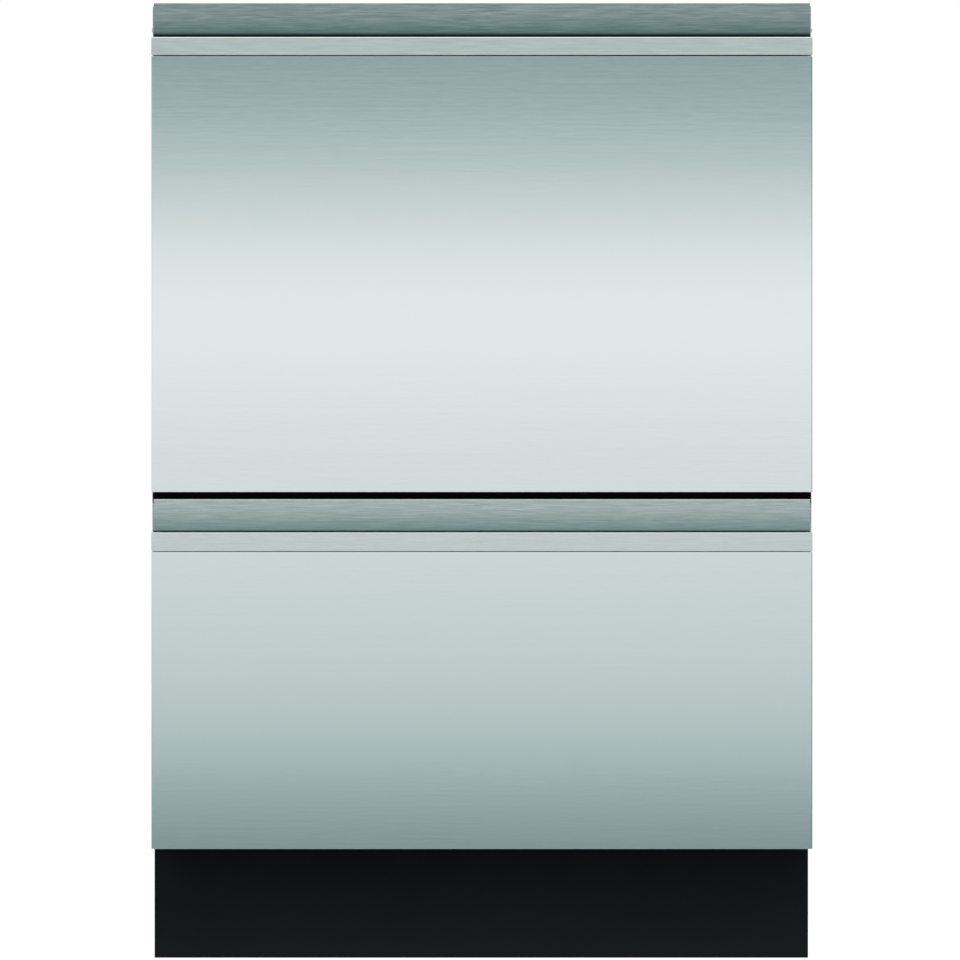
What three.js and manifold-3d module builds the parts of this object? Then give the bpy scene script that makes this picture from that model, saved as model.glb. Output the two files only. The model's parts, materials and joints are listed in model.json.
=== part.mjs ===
// A built-in dishwasher with two drawers, one above the other. Each drawer has a brushed steel
// front with a recessed finger pull along its top edge, a moulded tub with its own wash pump,
// spray arm, filter, rack and detergent cup, and a lid that seals the tub when it is shut.
// Millimetres, +Z up, +X to the right. The fronts face -Y. The origin is the middle of the
// footprint, on the floor.
import * as THREE from "three";
import { mergeVertices } from "three/addons/utils/BufferGeometryUtils.js";
import Module from "manifold-3d";

const wasm = await Module();
wasm.setup();

// ---- Driving dimensions ------------------------------------------------------------------

// Overall
const doorWidth = 599;
const overallDepth = 573;
const toeSpaceHeight = 99.5; // floor to the bottom of the lower front
const lowerDoorHeight = 317;
const doorGap = 6.2;
const upperDoorHeight = 443.3;

// Clearances
const seat = 0.3; // between pieces that touch
const running = 0.4; // between pieces that slide or turn on each other

// Steel fronts and finger pulls
const skinSheet = 1.2;
const skinReturn = 18;
const skinCorner = 1.5;
const seamHeight = 1.2;
const lipHeight = 17.2;
const lipThickness = 4;
const lipRadius = 1.4;
const bandHeight = 30.3; // from the lip's top edge to the top of the band behind it
const fingerGap = 20;
const channelSheet = 1.5;
const channelInset = 1;
const beadThickness = 4;
const beadRadius = 1.8;
const scoopRadius = 9;

// Inner door frame and control panel
const frameWall = 3;
const frameInset = 4; // how far the rear box is inside the tub's sides
const frameDepth = 24.2; // from the door's back to the tub's front wall
const controlHeight = 20;
const controlDrop = 10; // below the top of the band
const buttonWidth = 24;
const buttonLength = 11;
const buttonHeight = 5;
const buttonProud = 0.8;
const buttonTravel = 1;
const powerButtonAt = 0.82; // share of the panel's half width
const startButtonAt = 0.68;

// Chassis
const chassisInset = 1; // the chassis is narrower than the fronts on each side
const sheet = 1.2;
const doorClearance = 0.8;
const chassisDrop = 3; // its top is below the top of the upper band
const floorClearance = 62; // floor to the underside of the base pan
const frontFlange = 10.5;
const rearFlange = 14;
const topHem = 4;
const railHeight = 13;
const railDepth = 20;
const railOverlap = 3.3; // how far the centre rail stands above the bottom of the upper front
const toeSetback = 60;
const toeSheet = 1.5;
const toeFloorGap = 1;
const toeOverlap = 1.5; // how far the toe kick runs up behind the lower front

// Levelling feet
const footRadius = 21;
const footHeight = 10;
const stemRadius = 6;
const footTravel = 55;
const footInset = 38;
const stemSpare = 3; // stem above the base pan with the foot let out all the way

// Rear connections
const recessWidth = 190;
const recessHeight = 100;
const recessSide = 34; // from the chassis side to the recess
const recessRise = 12; // base pan to the recess
const recessDepth = 27;
const bracketSheet = 3;
const bracketFoot = 20;
const bracketOverlap = 5; // how far the bracket reaches past the recess
const inletRadius = 13.2;
const drainRadius = 10;
const inletPowerRadius = 9;
const portReach = 24;

// Telescopic slides
const slideHeight = 45;
const slideThickness = 12.7;
const slideSheet = 1.5;
const outerRebate = 2.5; // the outer member stops short of the tub by this
const middleRebate = 2;
const slideLength = 480;
const slideRise = 42; // tub bottom to the middle of the slide
const slideStart = 4; // behind the chassis front

// Tubs
const tubWall = 4;
const rearSpace = 50.5; // behind the tub
const tubCorner = 40;
const rimWidth = 8;
const rimThickness = 4;
const pumpClearance = 12; // under the pump
const pumpHeight = 58;
const pumpRadius = 86;
const pumpRim = 10;
const pumpTaper = 6;
const motorRadius = 62;
const motorEdge = 7;
const neckRadius = 60;
const spindleRadius = 11;
const spindleHeight = 30; // above the tub's floor
const shoulderRadius = 17; // round the foot of the spindle

// Lids and their lifters
const sealHeight = 4.4;
const sealWidth = 7;
const sealInset = 1; // from the lid's outside to the seal
const lidHeight = 11;
const lidPlate = 3.5;
const lidSkirt = 9;
const lidEdge = 1; // the lid stops short of the tub's outside by this
const legSize = 6;
const legGap = 3; // from the tub's side to the leg
const earHeight = 6;
const legLength = 26;
const lifterLength = 70;
const lifterHeight = 44;
const lifterGap = 1.5; // to the tub beside it and the lid above it

// Wash system
const filterRadius = 112;
const filterThickness = 3;
const filterEdge = 6;
const filterRing = 46;
const filterRingWidth = 9;
const filterRingCrest = 3;
const filterRingHeight = 4;
const armRise = 12; // filter face to the underside of the arm
const armReach = 205;
const armThickness = 8;
const armRootWidth = 52;
const armTipWidth = 30;
const armSweep = 6; // how far each tip lies to one side
const armBelly = 8;
const hubDrop = 3; // how far the hub reaches below the blades
const hubRadius = 27;
const hubHeight = 17;

// Detergent dispenser
const dispenserWidth = 130;
const dispenserHeight = 54;
const dispenserDepth = 16;
const bezelLip = 4;
const bezelCorner = 5;
const bezelProud = 2;
const dispenserDrop = 41; // rim to the middle of the dispenser
const cupWidth = 66;
const cupHeight = 38;
const cupFloor = 2.5;
const cupInset = 6; // from the dispenser's end to its cup
const flapThickness = 3;
const flapOverlap = 2; // how far the flap reaches past the cup
const hingeDrop = 4; // from the cup's lower edge to the hinge
const barrelRadius = 2.4;
const pinRadius = 1.2;
const lugWidth = 4;
const capRadius = 14;
const capHeight = 3;

// Racks
const rackWire = 4;
const rackWeld = 1; // how far crossing wires sink into each other
const rackBend = 9;
const legInset = 24;
const rackInset = 18; // from the tub's inside to the rack's rails
const rackRise = 46; // tub floor to the middle of the wires that carry the tines
const lowerRackDrop = 82; // rim to the top rail
const upperRackDrop = 110;
const wiresAcross = 7;
const wiresAlong = 6; // all but the outer two carry a row of tines
const tinesPerRow = 12;
const tineHeight = 78;
const tineWire = 3.4;
const cupShelfReach = 92;
const cupShelfLength = 300;
const cupShelfThickness = 4;
const cupShelfBars = 9;
const clipWidth = 12;
const clipWall = 2.4;

// ---- Materials ---------------------------------------------------------------------------

function finish(color, roughness, metalness) {
  return new THREE.MeshStandardMaterial({ color, roughness, metalness });
}
const brushedSteel = finish(0xb9c2c0, 0.32, 1);
const coatedSheet = finish(0x8f9496, 0.45, 0.6);
const zincSteel = finish(0xa9adb0, 0.35, 0.9);
const blackPaint = finish(0x141819, 0.5, 0.1);
const blackPlastic = finish(0x1b1d1f, 0.55, 0);
const glossBlack = finish(0x0c0d0f, 0.15, 0);
const tubPlastic = finish(0xa7adb1, 0.5, 0);
const lidPlastic = finish(0x9aa0a4, 0.55, 0);
const sealRubber = finish(0x3a3d40, 0.85, 0);
const pumpPlastic = finish(0x2c3033, 0.6, 0);
const armPlastic = finish(0xc9ced1, 0.45, 0);
const filterSteel = finish(0xbfc4c6, 0.3, 0.9);
const rackVinyl = finish(0x7b8288, 0.5, 0);
const buttonPlastic = finish(0xb4b9bb, 0.35, 0.2);
const footSteel = finish(0x8d9092, 0.45, 0.8);

// ---- Solids ------------------------------------------------------------------------------

// A closed geometry as a solid that can be joined and cut. Its corners are put on a fine grid,
// so that faces meant to lie in one plane do.
const gridPerMillimetre = 1024;

function solid(geometry) {
  const bare = new THREE.BufferGeometry();
  const source = geometry.index ? geometry.toNonIndexed() : geometry;
  const gridded = source
    .getAttribute("position")
    .array.map((value) => Math.round(value * gridPerMillimetre) / gridPerMillimetre);
  bare.setAttribute("position", new THREE.BufferAttribute(gridded, 3));
  const merged = mergeVertices(bare, 1e-3);
  const corners = [];
  for (let i = 0; i < merged.index.count; i += 3) {
    const [a, b, c] = [0, 1, 2].map((k) => merged.index.getX(i + k));
    if (a !== b && b !== c && c !== a) corners.push(a, b, c);
  }
  return new wasm.Manifold(
    new wasm.Mesh({
      numProp: 3,
      vertProperties: merged.attributes.position.array,
      triVerts: new Uint32Array(corners),
    }),
  );
}

function geometryOf(made) {
  const mesh = made.getMesh();
  const geometry = new THREE.BufferGeometry();
  geometry.setAttribute(
    "position",
    new THREE.BufferAttribute(mesh.vertProperties, mesh.numProp),
  );
  geometry.setIndex(new THREE.BufferAttribute(mesh.triVerts, 1));
  const faceted = geometry.toNonIndexed();
  faceted.computeVertexNormals();
  return faceted;
}

function join(...pieces) {
  return pieces.flat().reduce((whole, piece) => whole.add(piece));
}

function cut(whole, ...tools) {
  return tools.flat().reduce((left, tool) => left.subtract(tool), whole);
}

function box([x0, x1], [y0, y1], [z0, z1]) {
  const geometry = new THREE.BoxGeometry(x1 - x0, y1 - y0, z1 - z0);
  geometry.translate((x0 + x1) / 2, (y0 + y1) / 2, (z0 + z1) / 2);
  return solid(geometry);
}

function extruded(shape, length, segments) {
  return new THREE.ExtrudeGeometry(shape, {
    depth: length,
    bevelEnabled: false,
    curveSegments: segments,
  });
}

// An outline of [y, z] points, or a shape in those coordinates, drawn out along X.
function alongX(outline, [from, to], segments = 6) {
  const geometry = extruded(shapeOf(outline), to - from, segments);
  geometry.applyMatrix4(
    new THREE.Matrix4().makeBasis(
      new THREE.Vector3(0, 1, 0),
      new THREE.Vector3(0, 0, 1),
      new THREE.Vector3(1, 0, 0),
    ),
  );
  geometry.translate(from, 0, 0);
  return solid(geometry);
}

// An outline of [x, z] points drawn out along Y.
function alongY(outline, [from, to], segments = 6) {
  const geometry = extruded(shapeOf(outline), to - from, segments);
  geometry.rotateX(Math.PI / 2);
  geometry.translate(0, to, 0);
  return solid(geometry);
}

// An outline of [x, y] points drawn out along Z.
function alongZ(outline, [from, to], segments = 6) {
  const geometry = extruded(shapeOf(outline), to - from, segments);
  geometry.translate(0, 0, from);
  return solid(geometry);
}

function shapeOf(outline) {
  if (outline instanceof THREE.Shape) return outline;
  return new THREE.Shape(outline.map(([u, v]) => new THREE.Vector2(u, v)));
}

function roundedRectangle([u0, u1], [v0, v1], radius) {
  const shape = new THREE.Shape();
  shape.moveTo(u0 + radius, v0);
  shape.lineTo(u1 - radius, v0);
  shape.absarc(u1 - radius, v0 + radius, radius, -Math.PI / 2, 0);
  shape.lineTo(u1, v1 - radius);
  shape.absarc(u1 - radius, v1 - radius, radius, 0, Math.PI / 2);
  shape.lineTo(u0 + radius, v1);
  shape.absarc(u0 + radius, v1 - radius, radius, Math.PI / 2, Math.PI);
  shape.lineTo(u0, v0 + radius);
  shape.absarc(u0 + radius, v0 + radius, radius, Math.PI, 1.5 * Math.PI);
  return shape;
}

// An upright turned piece from [radius, z] points that start and end on the axis.
function turned(profile, [x, y], segments = 28) {
  const points = profile.map(([r, z]) => new THREE.Vector2(r, z));
  const geometry = new THREE.LatheGeometry(points, segments);
  geometry.rotateX(Math.PI / 2);
  geometry.translate(x, y, 0);
  return solid(geometry);
}

function post(radius, [x, y], [z0, z1], segments = 28) {
  return turned([[0, z0], [radius, z0], [radius, z1], [0, z1]], [x, y], segments);
}

// A round bar along Y or along X.
function barAlongY(radius, [x, z], [y0, y1], segments = 12) {
  const geometry = new THREE.CylinderGeometry(radius, radius, y1 - y0, segments);
  geometry.translate(x, (y0 + y1) / 2, z);
  return solid(geometry);
}

function barAlongX(radius, [y, z], [x0, x1], segments = 12) {
  const geometry = new THREE.CylinderGeometry(radius, radius, x1 - x0, segments);
  geometry.rotateZ(Math.PI / 2);
  geometry.translate((x0 + x1) / 2, y, z);
  return solid(geometry);
}

function both(reach) {
  return [-reach, reach];
}

function mirrored(made) {
  return made.mirror([1, 0, 0]);
}

const dishwasher = new THREE.Group();

function add(name, made, material) {
  const mesh = new THREE.Mesh(geometryOf(made), material);
  mesh.name = name;
  dishwasher.add(mesh);
}

function addPair(name, rightHand, material) {
  add(`${name}_right`, rightHand, material);
  add(`${name}_left`, mirrored(rightHand), material);
}

// ---- Planes that the pieces share --------------------------------------------------------

const doorHalf = doorWidth / 2;
const frontY = -overallDepth / 2;
const backY = overallDepth / 2;
const lipBackY = frontY + lipThickness;
const bandY = lipBackY + fingerGap;
const bandBackY = bandY + channelSheet;
const doorBackY = bandY + beadThickness + doorClearance;
const railFrontY = doorBackY + doorClearance;
const chassisFrontY = railFrontY + sheet + seat;
const tubFrontY = doorBackY + frameDepth;
const tubRearY = backY - rearSpace;
const tubInnerFrontY = tubFrontY + tubWall;
const tubMiddleY = (tubFrontY + tubRearY) / 2;

const chassisHalf = doorHalf - chassisInset;
const chassisInner = chassisHalf - sheet;
const slideOuterX = chassisInner - seat;
const tubHalf = slideOuterX - slideThickness - seat;
const tubInner = tubHalf - tubWall;
const frameHalf = tubHalf - frameInset;

const lowerBottomZ = toeSpaceHeight;
const lowerTopZ = lowerBottomZ + lowerDoorHeight;
const upperBottomZ = lowerTopZ + doorGap;
const upperTopZ = upperBottomZ + upperDoorHeight;
const chassisTopZ = upperTopZ - chassisDrop;
const toeTopZ = toeSpaceHeight + toeOverlap;
const toeBackY = frontY + toeSetback + toeSheet;
const panFrontY = toeBackY + seat;
const panShelfZ = toeTopZ + seat + sheet;
const panTopZ = floorClearance + sheet;
const sideBottomZ = floorClearance;
const rearPanelY = backY - sheet;
const sideRearY = rearPanelY - seat;
const panRearY = sideRearY - sheet - seat;

// The heights of one drawer, from the bottom and top of its front.
function levelsOf(bottom, top, rackDrop) {
  const lipTop = top - bandHeight;
  const lipBottom = lipTop - lipHeight;
  const skinTop = lipBottom - seamHeight;
  const controlTop = top - controlDrop;
  const rim = controlTop - controlHeight - seat;
  const pumpBottom = bottom + pumpClearance;
  const tubBottom = pumpBottom + pumpHeight + seat;
  const floor = tubBottom + tubWall;
  return {
    bottom,
    top,
    lipTop,
    lipBottom,
    skinTop,
    controlTop,
    rim,
    pumpBottom,
    tubBottom,
    floor,
    slide: tubBottom + slideRise,
    sealBottom: rim + seat,
    lidBottom: rim + seat + sealHeight + seat,
    dispenser: rim - dispenserDrop,
    rackFloor: floor + rackRise,
    rackTop: rim - rackDrop,
  };
}
const lowerLevels = levelsOf(lowerBottomZ, lowerTopZ, lowerRackDrop);
const upperLevels = levelsOf(upperBottomZ, upperTopZ, upperRackDrop);

// ---- Chassis -----------------------------------------------------------------------------

const sideTopZ = chassisTopZ - sheet - seat;
const footSpots = [
  ["front", panFrontY + footInset],
  ["rear", panRearY - footInset],
];
const footX = chassisInner - footInset;
const recessX = [-chassisHalf + recessSide, -chassisHalf + recessSide + recessWidth];
const recessZ = [panTopZ + recessRise, panTopZ + recessRise + recessHeight];

function sidePanel() {
  const web = chassisHalf - sheet;
  const panel = alongZ(
    [
      [chassisHalf, chassisFrontY],
      [chassisHalf, sideRearY],
      [chassisHalf - rearFlange, sideRearY],
      [chassisHalf - rearFlange, sideRearY - sheet],
      [web, sideRearY - sheet],
      [web, chassisFrontY + sheet],
      [chassisHalf - frontFlange, chassisFrontY + sheet],
      [chassisHalf - frontFlange, chassisFrontY],
    ],
    [sideBottomZ, sideTopZ],
  );
  const notchReach = slideHeight / 2 + 2 * running;
  const slideNotches = [lowerLevels, upperLevels].map((levels) =>
    box(
      [chassisHalf - frontFlange - seat, web],
      [chassisFrontY - seat, chassisFrontY + sheet + seat],
      [levels.slide - notchReach, levels.slide + notchReach],
    ),
  );
  const toeNotch = box(
    [0, chassisHalf + seat],
    [chassisFrontY - seat, panFrontY],
    [sideBottomZ - seat, toeTopZ + seat],
  );
  return cut(panel, slideNotches, toeNotch);
}

function rearPanel() {
  const panel = box(both(chassisHalf), [rearPanelY, backY], [sideBottomZ, sideTopZ]);
  const recess = box(recessX, [rearPanelY - 1, backY + 1], recessZ);
  return cut(panel, recess);
}

function topPanel() {
  const plate = box(
    both(chassisHalf),
    [chassisFrontY, backY],
    [chassisTopZ - sheet, chassisTopZ],
  );
  const hemReach = chassisHalf - frontFlange - seat;
  const hem = box(
    both(hemReach),
    [chassisFrontY, chassisFrontY + sheet],
    [chassisTopZ - topHem, chassisTopZ],
  );
  return join(plate, hem);
}

function basePan() {
  const shelfFrontY = chassisFrontY + sheet + seat;
  const pan = alongX(
    [
      [panRearY, floorClearance],
      [panRearY, panTopZ],
      [panFrontY + sheet, panTopZ],
      [panFrontY + sheet, panShelfZ],
      [shelfFrontY, panShelfZ],
      [shelfFrontY, panShelfZ - sheet],
      [panFrontY, panShelfZ - sheet],
      [panFrontY, floorClearance],
    ],
    both(chassisInner - seat),
  );
  const stems = footSpots.flatMap(([, y]) =>
    both(footX).map((x) =>
      post(stemRadius + running, [x, y], [floorClearance - 1, panTopZ + 1], 20),
    ),
  );
  return cut(pan, stems);
}

function centreRail() {
  const top = upperBottomZ + railOverlap;
  const bottom = top - railHeight;
  const face = box(both(chassisHalf), [railFrontY, railFrontY + sheet], [bottom, top]);
  const legReach = chassisHalf - frontFlange - seat;
  const legs = [bottom, top - sheet].map((z) =>
    box(both(legReach), [railFrontY, railFrontY + railDepth], [z, z + sheet]),
  );
  return join(face, legs);
}

function toeKick() {
  return box(both(chassisHalf), [toeBackY - toeSheet, toeBackY], [toeFloorGap, toeTopZ]);
}

function foot(x, y) {
  const stemTop = panTopZ + footTravel + stemSpare;
  return turned(
    [
      [0, 0],
      [footRadius, 0],
      [footRadius, footHeight * 0.45],
      [footRadius * 0.55, footHeight],
      [stemRadius, footHeight],
      [stemRadius, stemTop],
      [0, stemTop],
    ],
    [x, y],
    20,
  );
}

// A bracket that stands on the base pan behind the recess, with the water inlet, the drain
// outlet and the power inlet on it.
function serviceBracket() {
  const plateY = backY - recessDepth;
  const x = [recessX[0] - bracketOverlap, recessX[1] + bracketOverlap];
  const plate = box(
    x,
    [plateY - bracketSheet, plateY],
    [panTopZ + seat, recessZ[1] + bracketOverlap],
  );
  const flange = box(
    x,
    [plateY - 1, plateY + bracketFoot],
    [panTopZ + seat, panTopZ + seat + bracketSheet],
  );
  const middleZ = (recessZ[0] + recessZ[1]) / 2;
  const ports = [
    [inletRadius, 0.2],
    [drainRadius, 0.5],
    [inletPowerRadius, 0.8],
  ].map(([radius, share]) =>
    barAlongY(
      radius,
      [recessX[0] + share * recessWidth, middleZ],
      [plateY - 1, plateY + portReach],
      18,
    ),
  );
  return join(plate, flange, ports);
}

addPair("side_panel", sidePanel(), coatedSheet);
add("rear_panel", rearPanel(), coatedSheet);
add("top_panel", topPanel(), coatedSheet);
add("base_pan", basePan(), coatedSheet);
add("centre_rail", centreRail(), blackPaint);
add("toe_kick", toeKick(), blackPaint);
add("service_bracket", serviceBracket(), blackPlastic);
for (const [place, y] of footSpots) {
  add(`foot_${place}_right`, foot(footX, y), footSteel);
  add(`foot_${place}_left`, foot(-footX, y), footSteel);
}

// ---- Slides ------------------------------------------------------------------------------

const slideY = [
  chassisFrontY + slideStart,
  chassisFrontY + slideStart + slideLength,
];

// A channel section that is open towards the tub, or towards the chassis if turned is set.
function channel([x0, x1], reach, z, turnedOut) {
  const [webFrom, webTo] = turnedOut ? [x0, x0 + slideSheet] : [x1 - slideSheet, x1];
  return join(
    box([webFrom, webTo], slideY, [z - reach, z + reach]),
    box([x0, x1], slideY, [z + reach - slideSheet, z + reach]),
    box([x0, x1], slideY, [z - reach, z - reach + slideSheet]),
  );
}

function addSlides(prefix, z) {
  const outerReach = slideHeight / 2;
  const middleReach = outerReach - slideSheet - running;
  const innerReach = middleReach - slideSheet - running;
  const tubSide = slideOuterX - slideThickness;
  const middleX = slideOuterX - slideSheet - running;
  const outer = channel([tubSide + outerRebate, slideOuterX], outerReach, z, false);
  const middle = channel([tubSide + middleRebate, middleX], middleReach, z, false);
  const innerX = middleX - slideSheet - running;
  const inner = channel([tubSide, innerX], innerReach, z, true);
  addPair(`${prefix}_slide_outer`, outer, zincSteel);
  addPair(`${prefix}_slide_middle`, middle, zincSteel);
  addPair(`${prefix}_slide_inner`, inner, zincSteel);
}

// ---- Drawer front ------------------------------------------------------------------------

function doorSkin({ bottom, skinTop }) {
  const shell = alongZ(
    roundedRectangle(both(doorHalf), [frontY, frontY + 2 * skinReturn], skinCorner),
    [bottom, skinTop],
    3,
  );
  const inside = box(
    both(doorHalf - skinSheet),
    [frontY + skinSheet, frontY + 2 * skinReturn + 1],
    [bottom + skinSheet, skinTop - skinSheet],
  );
  const behind = box(
    both(doorHalf + 1),
    [frontY + skinReturn, frontY + 2 * skinReturn + 1],
    [bottom - 1, skinTop + 1],
  );
  return cut(shell, inside, behind);
}

// The folded pull: a lip that stands in line with the front, the floor of the pocket behind
// it, and the band that curves up to the bead along the top edge.
function fingerPull({ top, lipTop, lipBottom }) {
  const floorTop = lipBottom + channelSheet;
  const lip = new THREE.Shape();
  lip.moveTo(frontY, lipBottom);
  lip.lineTo(lipBackY, lipBottom);
  lip.lineTo(lipBackY, lipTop - lipRadius);
  lip.absarc(lipBackY - lipRadius, lipTop - lipRadius, lipRadius, 0, Math.PI / 2);
  lip.lineTo(frontY + lipRadius, lipTop);
  lip.absarc(frontY + lipRadius, lipTop - lipRadius, lipRadius, Math.PI / 2, Math.PI);
  const band = new THREE.Shape();
  band.moveTo(lipBackY - 1, lipBottom);
  band.lineTo(bandBackY, lipBottom);
  band.lineTo(bandBackY, top - beadThickness * 1.5);
  band.lineTo(bandY + beadThickness, top - beadThickness * 1.5);
  band.lineTo(bandY + beadThickness, top - beadRadius);
  band.absarc(
    bandY + beadThickness - beadRadius,
    top - beadRadius,
    beadRadius,
    0,
    Math.PI / 2,
  );
  band.lineTo(bandY + beadRadius, top);
  band.absarc(bandY + beadRadius, top - beadRadius, beadRadius, Math.PI / 2, Math.PI);
  band.lineTo(bandY, floorTop + scoopRadius);
  band.absarc(bandY - scoopRadius, floorTop + scoopRadius, scoopRadius, 0, -Math.PI / 2, true);
  band.lineTo(lipBackY - 1, floorTop);
  const end = [
    [lipBackY - 1, lipBottom],
    [bandBackY, lipBottom],
    [bandBackY, top - beadThickness * 1.5],
    [bandY, top - beadThickness],
    [lipBackY - 1, lipTop - lipThickness],
  ];
  const reach = doorHalf - channelInset;
  return join(
    alongX(lip, both(doorHalf), 4),
    alongX(band, both(reach), 5),
    alongX(end, [-reach, -reach + channelSheet]),
    alongX(end, [reach - channelSheet, reach]),
  );
}

// The moulded frame that carries the steel front and the dispenser. It is hollow towards the
// steel, and its rear box passes between the chassis sides to the tub.
function doorFrame(levels) {
  const { bottom, skinTop, tubBottom, rim, dispenser } = levels;
  const slabHalf = doorHalf - skinSheet - seat;
  const slabZ = [bottom + skinSheet + seat, skinTop - skinSheet - seat];
  const slabFrontY = frontY + skinSheet + seat;
  const rearY = tubFrontY - seat;
  const neckY = bandBackY + seat;
  const slab = box(both(slabHalf), [slabFrontY, doorBackY], slabZ);
  const neck = box(both(frameHalf), [neckY, rearY], [slabZ[1] - frameWall, rim]);
  const rear = box(both(frameHalf), [doorBackY - 1, rearY], [tubBottom, rim]);
  const slabHollow = box(
    both(slabHalf - frameWall),
    [slabFrontY - 1, doorBackY - frameWall],
    [slabZ[0] + frameWall, slabZ[1] - frameWall],
  );
  const rearHollow = box(
    both(frameHalf - frameWall),
    [slabFrontY - 1, rearY - frameWall],
    [tubBottom + frameWall, slabZ[1] - frameWall],
  );
  const window = dispenserWindow(dispenser, [slabFrontY + frameWall, rearY + 1]);
  return cut(join(slab, neck, rear), slabHollow, rearHollow, window);
}

function dispenserWindow(middle, y) {
  const half = dispenserWidth / 2 + running;
  const rise = dispenserHeight / 2 + running;
  return box(both(half), y, [middle - rise, middle + rise]);
}

const buttonX = [startButtonAt, powerButtonAt].map((share) => share * frameHalf);
const controlY = [bandBackY + seat, tubFrontY - seat];
const buttonY = (controlY[0] + controlY[1]) / 2;

function controlPanel({ rim, controlTop }) {
  const block = box(both(frameHalf), controlY, [rim + seat, controlTop]);
  const depth = buttonHeight - buttonProud + buttonTravel + running;
  const wells = buttonX.map((x) =>
    alongZ(
      roundedRectangle(
        [x - buttonWidth / 2 - running, x + buttonWidth / 2 + running],
        [buttonY - buttonLength / 2 - running, buttonY + buttonLength / 2 + running],
        2 + running,
      ),
      [controlTop - depth, controlTop + 1],
      3,
    ),
  );
  return cut(block, wells);
}

function button(x, { controlTop }) {
  const top = controlTop + buttonProud;
  return alongZ(
    roundedRectangle(
      [x - buttonWidth / 2, x + buttonWidth / 2],
      [buttonY - buttonLength / 2, buttonY + buttonLength / 2],
      2,
    ),
    [top - buttonHeight, top],
    3,
  );
}

// ---- Tub, pump and wash system -----------------------------------------------------------

function tub({ tubBottom, floor, rim, dispenser }) {
  const outline = (inset, radius) =>
    roundedRectangle(
      both(tubHalf - inset),
      [tubFrontY + inset, tubRearY - inset],
      radius,
    );
  const body = alongZ(outline(0, tubCorner), [tubBottom, rim], 5);
  const cavity = alongZ(
    outline(tubWall, tubCorner - tubWall),
    [floor, rim - rimThickness],
    5,
  );
  const mouth = alongZ(
    outline(tubWall + rimWidth, tubCorner - tubWall - rimWidth),
    [rim - rimThickness - 1, rim + 1],
    5,
  );
  const sump = post(neckRadius + seat, [0, tubMiddleY], [tubBottom - 1, floor + 1]);
  const window = dispenserWindow(dispenser, [tubFrontY - 1, tubInnerFrontY + 1]);
  return cut(body, cavity, mouth, sump, window);
}

function pump({ pumpBottom, tubBottom, floor }) {
  const shoulder = tubBottom - seat;
  return turned(
    [
      [0, pumpBottom],
      [motorRadius - motorEdge, pumpBottom],
      [motorRadius, pumpBottom + motorEdge],
      [motorRadius, shoulder - pumpRim - pumpTaper],
      [pumpRadius, shoulder - pumpRim],
      [pumpRadius, shoulder],
      [neckRadius, shoulder],
      [neckRadius, floor],
      [shoulderRadius, floor],
      [shoulderRadius, floor + 2],
      [spindleRadius, floor + 2],
      [spindleRadius, floor + spindleHeight],
      [0, floor + spindleHeight],
    ],
    [0, tubMiddleY],
  );
}

function filterPlate({ floor }) {
  const bottom = floor + seat;
  const top = bottom + filterThickness;
  const plate = turned(
    [
      [0, bottom],
      [filterRadius, bottom],
      [filterRadius, bottom + 1],
      [filterRadius - filterEdge, top],
      [filterRing + filterRingWidth / 2, top],
      [filterRing + filterRingCrest / 2, top + filterRingHeight],
      [filterRing - filterRingCrest / 2, top + filterRingHeight],
      [filterRing - filterRingWidth / 2, top],
      [0, top],
    ],
    [0, tubMiddleY],
  );
  const eye = post(shoulderRadius + running, [0, tubMiddleY], [bottom - 1, top + 1]);
  return cut(plate, eye);
}

// A two-bladed arm, swept like an S and rounded at its tips, with a socket over the spindle.
function sprayArm({ floor }) {
  const bottom = floor + seat + filterThickness + armRise;
  const root = armRootWidth / 2;
  const tip = armTipWidth / 2;
  const blade = new THREE.Shape();
  blade.moveTo(-root, 0);
  blade.quadraticCurveTo(-root, armReach / 2, armSweep - tip, armReach - tip);
  blade.absarc(armSweep, armReach - tip, tip, Math.PI, 0, true);
  blade.quadraticCurveTo(root + armBelly, armReach / 2, root, 0);
  blade.quadraticCurveTo(root, -armReach / 2, tip - armSweep, tip - armReach);
  blade.absarc(-armSweep, tip - armReach, tip, 0, -Math.PI, true);
  blade.quadraticCurveTo(-root - armBelly, -armReach / 2, -root, 0);
  const blades = alongZ(blade, [bottom, bottom + armThickness], 7).translate([
    0,
    tubMiddleY,
    0,
  ]);
  const hubBottom = bottom - hubDrop;
  const hub = post(hubRadius, [0, tubMiddleY], [hubBottom, hubBottom + hubHeight]);
  const socket = post(
    spindleRadius + running,
    [0, tubMiddleY],
    [hubBottom - 1, floor + spindleHeight + running],
  );
  return cut(join(blades, hub), socket);
}

// ---- Lid, seal and lifters ---------------------------------------------------------------

const lidHalf = tubHalf - lidEdge;
const lidY = [tubFrontY + lidEdge, tubRearY - lidEdge];
const legX = [tubHalf + legGap, tubHalf + legGap + legSize];

function lid({ lidBottom }) {
  const top = lidBottom + lidHeight;
  const outside = alongZ(
    roundedRectangle(both(lidHalf), lidY, tubCorner - lidEdge),
    [lidBottom, top],
    5,
  );
  const hollow = alongZ(
    roundedRectangle(
      both(lidHalf - lidSkirt),
      [lidY[0] + lidSkirt, lidY[1] - lidSkirt],
      tubCorner - lidEdge - lidSkirt,
    ),
    [lidBottom - 1, top - lidPlate],
    5,
  );
  const ear = box([lidHalf - 2, legX[1]], both(legSize), [lidBottom, lidBottom + earHeight]);
  const leg = box(legX, both(legSize / 2), [lidBottom - legLength, lidBottom + 1]);
  const arm = join(ear, leg).translate([0, tubMiddleY, 0]);
  return join(cut(outside, hollow), arm, mirrored(arm));
}

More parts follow.
